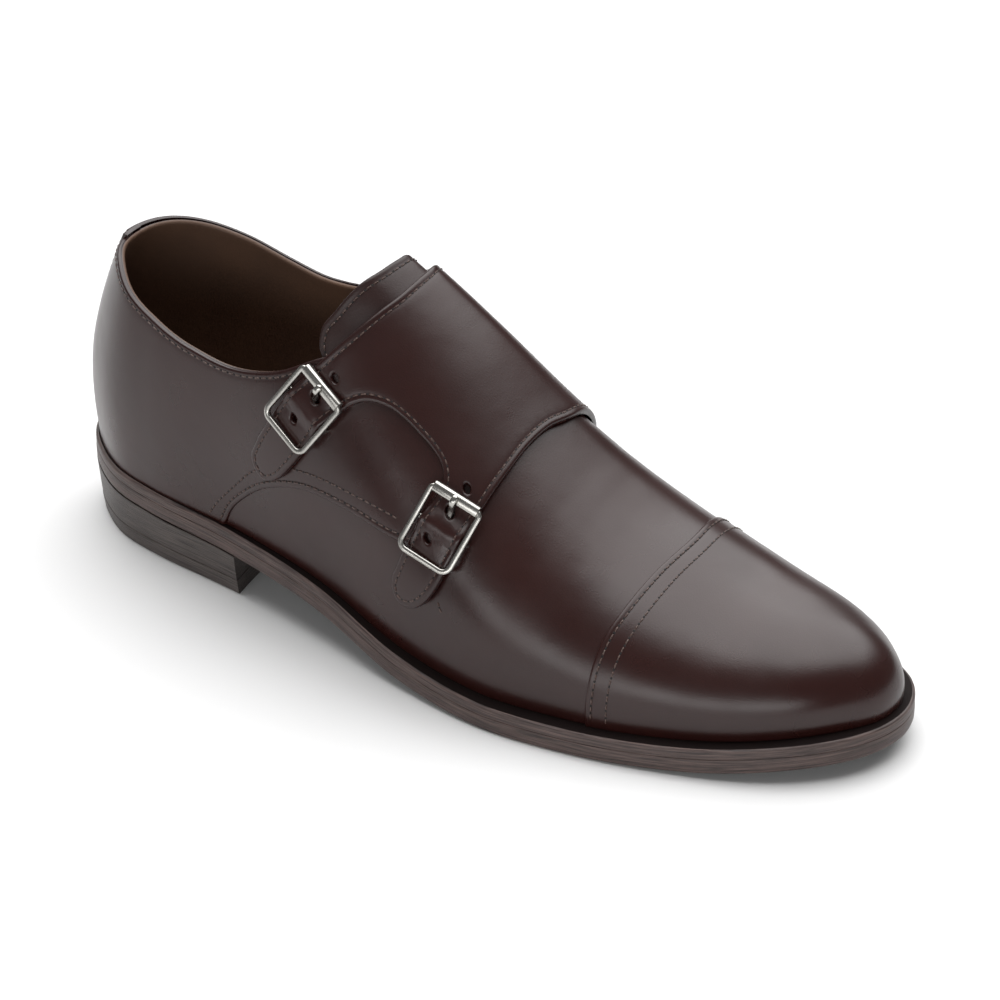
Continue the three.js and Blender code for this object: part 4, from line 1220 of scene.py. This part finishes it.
def breast(points, edge_rows, columns, width):
    """The inner points and the faces of the heel's front, between the last station's top and bottom rows."""
    first = len(points) - width
    last = points[first:]
    floor = np.arange(edge_rows - 1, edge_rows + columns)
    medial = np.arange(2 * edge_rows + columns - 2, edge_rows + columns - 2, -1)
    roof = np.array([0, *range(width - 1, 2 * edge_rows + columns - 2, -1), medial[0]])
    grid = np.empty((edge_rows, columns + 1), int)
    grid[:, 0] = np.arange(edge_rows)
    grid[:, -1] = medial
    grid[0] = roof
    grid[-1] = floor
    grid += first
    inner = []
    for r in range(1, edge_rows - 1):
        share = (last[r][2] - last[edge_rows - 1][2]) / (last[0][2] - last[edge_rows - 1][2])
        for c in range(1, columns):
            top, bottom = last[roof[c]], last[floor[c]]
            grid[r, c] = len(points) + len(inner)
            inner.append(bottom + (top - bottom) * share)
    corners = np.stack([grid[:-1, :-1], grid[:-1, 1:], grid[1:, 1:], grid[1:, :-1]], -1)
    return np.array(inner), corners.reshape(-1, 4).tolist()


def level(height):
    """A height over the outsole's underside."""
    return lambda x: under(x) + height


def flat(height):
    """A height over the floor."""
    return lambda x: np.full(np.shape(x), float(height))


def outsole():
    top = OUTSOLE_THICK + GAP - 0.05
    profile = [
        (0.2, level(top)), (0.08, level(top - 0.06)), (0.02, level(top - 0.2)), (0.0, level(top - 0.7)),
        (-0.05, level(3.4)), (0.0, level(2.2)), (0.06, level(1.1)),
        (0.35, level(0.4)), (0.8, level(0.1)), (1.4, level(0.0)),
    ]
    slab("outsole_leather", profile, SOLE_SIDE, "sole_leather", ("outsole",), below=RUBBER)


WELT_STATIONS = 160
WELT_UNDERLAP = 1.5  # how far the welt reaches in past the upper's wall


def welt():
    """The strip round the upper's foot, with rounded edges: below, they leave a groove over the outsole."""
    low = OUTSOLE_THICK + GAP
    outer = [
        (0.22, low), (0.08, low + 0.06), (0.02, low + 0.2), (0.0, low + 0.8), (-0.02, low + 2.0),
        (0.02, low + 2.7), (0.2, low + 3.15), (0.5, low + 3.42), (0.9, low + 3.5),
        (1.5, low + WELT_THICK - 0.12),
    ]
    stations = np.linspace(0, math.pi, WELT_STATIONS + 1)
    loop = [(False, u) for u in stations] + [(True, u) for u in stations[-2:0:-1]]
    points, along = [], []
    travelled = 0.0
    before = None
    for medial, u in loop:
        angle = np.array([u])
        inner = outline_point(medial, angle, np.array([WALL + WELT_UNDERLAP]), feather=True)[0]
        row = []
        for inset, height in outer:
            plan = outline_point(medial, angle, np.array([inset]))[0]
            row.append((*plan, float(under(plan[0])) + height))
        row.append((*inner, float(under(inner[0])) + low + WELT_THICK))
        row.append((*inner, float(under(inner[0])) + low))
        if before is not None:
            travelled += float(np.linalg.norm(np.array(row[0]) - before))
        before = np.array(row[0])
        points += row
        along += [travelled] * len(row)
    width = len(outer) + 2
    faces = grid_faces(len(loop), width, 0, closed=True)
    last = (len(loop) - 1) * width
    for c in range(width):
        d = (c + 1) % width
        faces.append([last + c, c, d, last + d])
    points = np.array(points)
    # painted shade: faces on the welt's top take the near-black leather
    shaded_top = np.array([f[0] % width >= len(outer) - 2 for f in faces]).astype(int)
    tags = {
        "along": np.array(along) * MM,
        "height": (points[:, 2] - under(points[:, 0])) * MM + 0.05,
        "edge": np.zeros(len(points)),
    }
    make(
        "welt_strip", points, faces, SOLE_SIDE, "sole_leather",
        tags=tags, second=(WELT_TOP_SHADE, shaded_top), replaces=("welt",), sharp=60,
    )


def heel():
    """The stack, tapering to the floor, and its top piece; each edge is rounded a little."""
    size = {"end": float(angle_at(BREAST_X)), "stations": 70, "columns": 10}
    z_low = TOP_PIECE_THICK + GAP / 2
    mean = float(under(BREAST_X / 2))

    def taper(z):
        return HEEL_TAPER * (1 - z / mean)

    def mixed(share):
        return lambda x: z_low + (under(x) - z_low) * share

    stack = [(0.22, level(-0.02)), (0.12, level(-0.1)), (0.08, level(-0.4))]
    for share in np.linspace(0.93, 0.07, 9):
        stack.append((0.08 + taper(z_low + (mean - z_low) * share), mixed(share)))
    stack += [(HEEL_INSET + taper(z_low), mixed(0.03)), (0.25 + taper(z_low), flat(z_low))]
    slab("heel_stack_leather", stack, HEEL_SIDE, "sole_leather", ("heel_stack",), **size)
    piece = [
        (0.25 + taper(z_low), flat(z_low)), (0.12 + taper(z_low), flat(z_low - 0.1)),
        (0.08 + taper(z_low), flat(z_low - 0.4)), (HEEL_INSET + taper(3), flat(3.0)),
        (HEEL_INSET + HEEL_TAPER, flat(0.9)), (0.3 + HEEL_TAPER, flat(0.3)), (0.9 + HEEL_TAPER, flat(0.0)),
    ]
    slab("heel_top_rubber", piece, HEEL_SIDE, "heel_rubber", ("heel_top_piece",), below=RUBBER, **size)


def sock():
    """The insole with its leather sock."""
    low = OUTSOLE_THICK + GAP
    inset = WALL + 0.5
    profile = [
        (inset + 0.9, level(low + INSOLE_THICK + 0.3)), (inset + 0.3, level(low + INSOLE_THICK + 0.15)),
        (inset, level(low + INSOLE_THICK - 0.5)), (inset, level(low + 0.2)),
    ]
    slab("sock_leather", profile, SOCK, "insole_leather", ("insole",), feather=True)


# ---- buckles ---------------------------------------------------------------------------
def map_point(x, girth):
    return over(np.array([[float(q_at(x)), girth]]), np.zeros(1))[0]


def buckle_axes(x, girth, slant):
    """Columns: across the strap, up the strap to the instep, and out from the upper."""
    reach = 2.0
    up = unit(map_point(x + slant * reach, girth - reach) - map_point(x - slant * reach, girth + reach))
    ahead = map_point(x + reach, girth) - map_point(x, girth)
    out = unit(np.cross(ahead, up))
    return np.stack([np.cross(up, out), up, out], 1)


def tube(path, section, closed=False, normal=(0, 0, 1)):
    """Points and faces of a section (sideways, outward) swept along a path."""
    path = np.asarray(path, float)
    if closed:
        tangent = unit(np.roll(path, -1, 0) - np.roll(path, 1, 0))
    else:
        tangent = unit(np.gradient(path, axis=0))
    side = unit(np.cross(tangent, np.array(normal, float)))
    out = np.cross(side, tangent)
    section = np.asarray(section, float)
    if section.ndim == 2:
        section = np.broadcast_to(section, (len(path), *section.shape))
    points = path[:, None] + side[:, None] * section[..., :1] + out[:, None] * section[..., 1:]
    sides = section.shape[1]
    faces = grid_faces(len(path), sides, 0, closed=True)
    if closed:
        first = (len(path) - 1) * sides
        faces += [[first + c, c, (c + 1) % sides, first + (c + 1) % sides] for c in range(sides)]
    else:
        faces += [list(range(sides))[::-1], list(range((len(path) - 1) * sides, len(path) * sides))]
    return points.reshape(-1, 3), faces


def soft_square(width, thick, power=3.2, sides=20):
    """A superellipse: an oval at a power of 2, boxier above it."""
    turn = np.linspace(0, 2 * math.pi, sides, endpoint=False)
    c, s = np.cos(turn), np.sin(turn)
    across = width / 2 * np.sign(c) * np.abs(c) ** (2 / power)
    return np.stack([across, thick / 2 * np.sign(s) * np.abs(s) ** (2 / power)], 1)


def rounded_loop(width, length, low_corner, high_corner):
    """Middle line of the frame: a rounded rectangle, softer at the end that the tail passes."""
    corners = ((1, 1, high_corner), (-1, 1, high_corner), (-1, -1, low_corner), (1, -1, low_corner))
    points = []
    for quarter, (sx, sy, radius) in enumerate(corners):
        centre = (sx * (width / 2 - radius), sy * (length / 2 - radius))
        for step in np.linspace(0, 90, 10):
            turn = math.radians(90 * quarter + step)
            points.append((centre[0] + radius * math.cos(turn), centre[1] + radius * math.sin(turn)))
    filled = []
    for a, b in zip(points, points[1:] + points[:1]):
        count = max(1, int(math.dist(a, b) / 1.5))
        filled += [(a[0] + (b[0] - a[0]) * k / count, a[1] + (b[1] - a[1]) * k / count) for k in range(count)]
    return np.array(filled)


def joined(parts):
    points, faces, count = [], [], 0
    for part_points, part_faces in parts:
        points.append(part_points)
        faces += [[i + count for i in face] for face in part_faces]
        count += len(part_points)
    return np.concatenate(points), faces


TAB_LEATHER = 0.7  # the tab's thickness as seen
PRONG_WIDTH = 2.1
PRONG_THICK = 1.3
PRONG_OVER_ROLLER = 0.55


def buckle(name, x, girth, slant):
    """Frame with its centre bar, roller, prong, and the leather tab under the strap."""
    origin, axes = map_point(x, girth), buckle_axes(x, girth, slant)

    def part(kind, points, faces, node, sharp):
        replaces = (f"{name}_buckle_{node}",)
        points = origin + np.asarray(points) @ axes.T
        make(f"{name}_{kind}_steel", points, faces, STEEL, "buckle_metal", replaces=replaces, sharp=sharp)

    mid_z = BUCKLE_LOW + BUCKLE_BAR / 2
    end_y = (BUCKLE_LENGTH - BUCKLE_BAR) / 2
    arm_x = (BUCKLE_WIDTH - BUCKLE_BAR) / 2
    loop = rounded_loop(2 * arm_x, 2 * end_y, 2.9, 1.7)
    frame_path = np.concatenate([loop, np.full((len(loop), 1), mid_z)], 1)
    turn = np.linspace(0, 2 * math.pi, 16, endpoint=False)
    circle = np.stack([np.cos(turn), np.sin(turn)], 1)
    bar = [(side, 0, CENTRE_BAR_HEIGHT) for side in (-arm_x, 0, arm_x)]
    frame_parts = [
        tube(frame_path, soft_square(BUCKLE_BAR, BUCKLE_BAR), closed=True),
        tube(bar, circle * CENTRE_BAR_RADIUS),
    ]
    for side in (-arm_x, arm_x):
        post = [(side, 0, z) for z in (CENTRE_BAR_HEIGHT - 0.6, 2.6, mid_z)]
        frame_parts.append(tube(post, circle * POST_RADIUS, normal=(1, 0, 0)))
    part("buckle", *joined(frame_parts), "frame", 60)

    half = arm_x - 0.8
    ends = ((0, 0.82), (0.12, 0.97), (0.35, 1.0))
    rings = [(d - half, share) for d, share in ends]
    rings += [(0, 1.0), *[(half - d, share) for d, share in ends[::-1]]]
    path = [(place, end_y, mid_z) for place, _ in rings]
    sleeve = soft_square(2 * ROLLER_RADIUS + 0.3, 2 * ROLLER_RADIUS - 0.3, 2.8)
    part("roller", *tube(path, np.stack([sleeve * share for _, share in rings])), "roller", 40)

    over_roller = mid_z + ROLLER_RADIUS + PRONG_OVER_ROLLER
    knots = {
        "t": np.array([0, 3, 6, 9, 12.0]),
        "y": np.array([2.0, 4.6, 7.0, end_y - 1.6, end_y + 1.3]),
        "z": np.array([1.2, 1.9, 3.6, over_roller, over_roller - 0.15]),
    }
    t = np.linspace(0, 12, 26)
    path = np.stack([0 * t, curve(knots, "t", "y")(t), curve(knots, "t", "z")(t)], 1)
    tip = np.clip((12 - t) / 1.2, 0.0, 1)
    taper = np.sqrt(1 - (1 - tip) ** 2) * 0.7 + 0.3
    sections = np.stack([soft_square(PRONG_WIDTH * w, PRONG_THICK * w, 2.6, 14) for w in taper])
    part("prong", *tube(path, sections, normal=(0, -0.5, 1)), "prong", 50)

    corners = [
        (x - slant * down + side * TAB_WIDTH / 2, girth + down)
        for side, down in ((-1, TAB_START), (-1, TAB_LENGTH), (1, TAB_LENGTH), (1, TAB_START))
    ]
    lines = [run(a, b) for a, b in zip(corners, corners[1:] + corners[:1])]
    panel = Panel(lines, free=(0, 1, 2, 3), spacing=2.5)
    bottom = np.full(len(panel.x), PANEL_LIFT - 0.1)
    top = bottom + edge_profile(panel.distance, TAB_LEATHER, 0)
    tab = (f"{name}_buckle_tab",)
    panel.build(f"{name}_tab_leather", top, bottom, UPPER_LEATHER, "upper_leather", replaces=tab)


# ---- studio ----------------------------------------------------------------------------
PAPER_HALF = 6.0
# painted shade: the paper's colour darkens away from the middle, standing in for light falling off
PAPER_SHADE_FALL = (0.45, 1.3)  # the paper darkens between these distances from the middle
SKY_CENTRE = (-0.15, 0.35, 0.925)  # where the soft light overhead is brightest
SKY_FALL = {"From Min": 0.68, "From Max": 0.86, "To Min": 0.16, "To Max": 4.0}  # strength by closeness to it
STRIP_PLACE = (0.34, -1.12, 0.3)
STRIP_SIZE = (1.4, 0.35)
STRIP_POWER = 5.5
CAMERA_PLACE = (0.8844, -1.3189, 1.0368)
CAMERA_TARGET = (0.006, 0.0026, 0.047)
CAMERA_LENS = 212


def grey(tone):
    return (tone, tone, tone, 1)


def aim(thing, place, target):
    """Puts a lamp or the camera in its place, turned to a target."""
    bpy.context.scene.collection.objects.link(thing)
    thing.location = place
    thing.rotation_mode = "QUATERNION"
    thing.rotation_quaternion = (target - thing.location).to_track_quat("-Z", "Y")


def paper():
    """The pale floor, its colour darkened away from the middle as painted shade."""
    size = PAPER_HALF
    corners = [(-size, -size, 0), (size, -size, 0), (size, size, 0), (-size, size, 0)]
    floor_mesh = bpy.data.meshes.new("floor")
    floor_mesh.from_pydata(corners, [], [(0, 1, 2, 3)])
    floor = bpy.data.objects.new("floor", floor_mesh)
    bpy.context.scene.collection.objects.link(floor)
    look = Look("floor_paper")
    far = look.node("ShaderNodeVectorMath", {"operation": "LENGTH"}, i0=look.place).outputs["Value"]
    tone = look.mix(look.ramp(look.noise(3, 3), 0.3, 0.7), grey(0.74), grey(0.76))
    # painted shade: the paper turns dark grey far from the middle
    tone = look.mix(look.ramp(far, *PAPER_SHADE_FALL), tone, grey(0.22))
    look.set(Base_Color=tone, Roughness=0.8, Specular_IOR_Level=0.1)
    floor_mesh.materials.append(look.material)


def sky():
    """Soft light from overhead, brightest at SKY_CENTRE."""
    world = bpy.data.worlds.new("studio")
    bpy.context.scene.world = world
    world.use_nodes = True
    nodes, links = world.node_tree.nodes, world.node_tree.links
    direction = nodes.new("ShaderNodeTexCoord").outputs["Generated"]
    toward = nodes.new("ShaderNodeVectorMath")
    toward.operation = "DOT_PRODUCT"
    toward.inputs[1].default_value = SKY_CENTRE
    links.new(direction, toward.inputs[0])
    ramp = nodes.new("ShaderNodeMapRange")
    ramp.interpolation_type = "SMOOTHSTEP"
    for key, value in SKY_FALL.items():
        ramp.inputs[key].default_value = value
    links.new(toward.outputs["Value"], ramp.inputs["Value"])
    links.new(ramp.outputs[0], nodes["Background"].inputs["Strength"])
    nodes["Background"].inputs["Color"].default_value = grey(1)


def studio():
    paper()
    sky()
    strip = bpy.data.lights.new("front_strip", "AREA")
    strip.shape = "RECTANGLE"
    strip.size, strip.size_y = STRIP_SIZE
    strip.energy = STRIP_POWER
    aim(bpy.data.objects.new("front_strip", strip), STRIP_PLACE, (cad_box[0] + cad_box[1]) / 2)
    lens = bpy.data.cameras.new("camera")
    lens.lens = CAMERA_LENS
    lens.clip_start = 0.05
    camera = bpy.data.objects.new("camera", lens)
    aim(camera, CAMERA_PLACE, Vector(CAMERA_TARGET))
    bpy.context.scene.camera = camera
    bpy.context.scene.view_settings.view_transform = "Standard"


# ---- assembly --------------------------------------------------------------------------
studio()
upper_wall()
toe_cap()
back_stay()
lateral_quarter()
monk_panel()
tongue()
sock()
outsole()
welt()
heel()
for buckle_name, (buckle_x, buckle_girth, buckle_slant) in BUCKLES.items():
    buckle(buckle_name, buckle_x, buckle_girth, buckle_slant)
make("stitching", np.concatenate(thread_points), thread_faces, THREAD, "thread", merge=0.0001)
# painted shade of the needle holes: small near-black domes between the stitches
make("needle_hole_shade_discs", np.concatenate(hole_shade_points), hole_shade_faces, NEEDLE_SHADE, "thread", merge=0.0001)
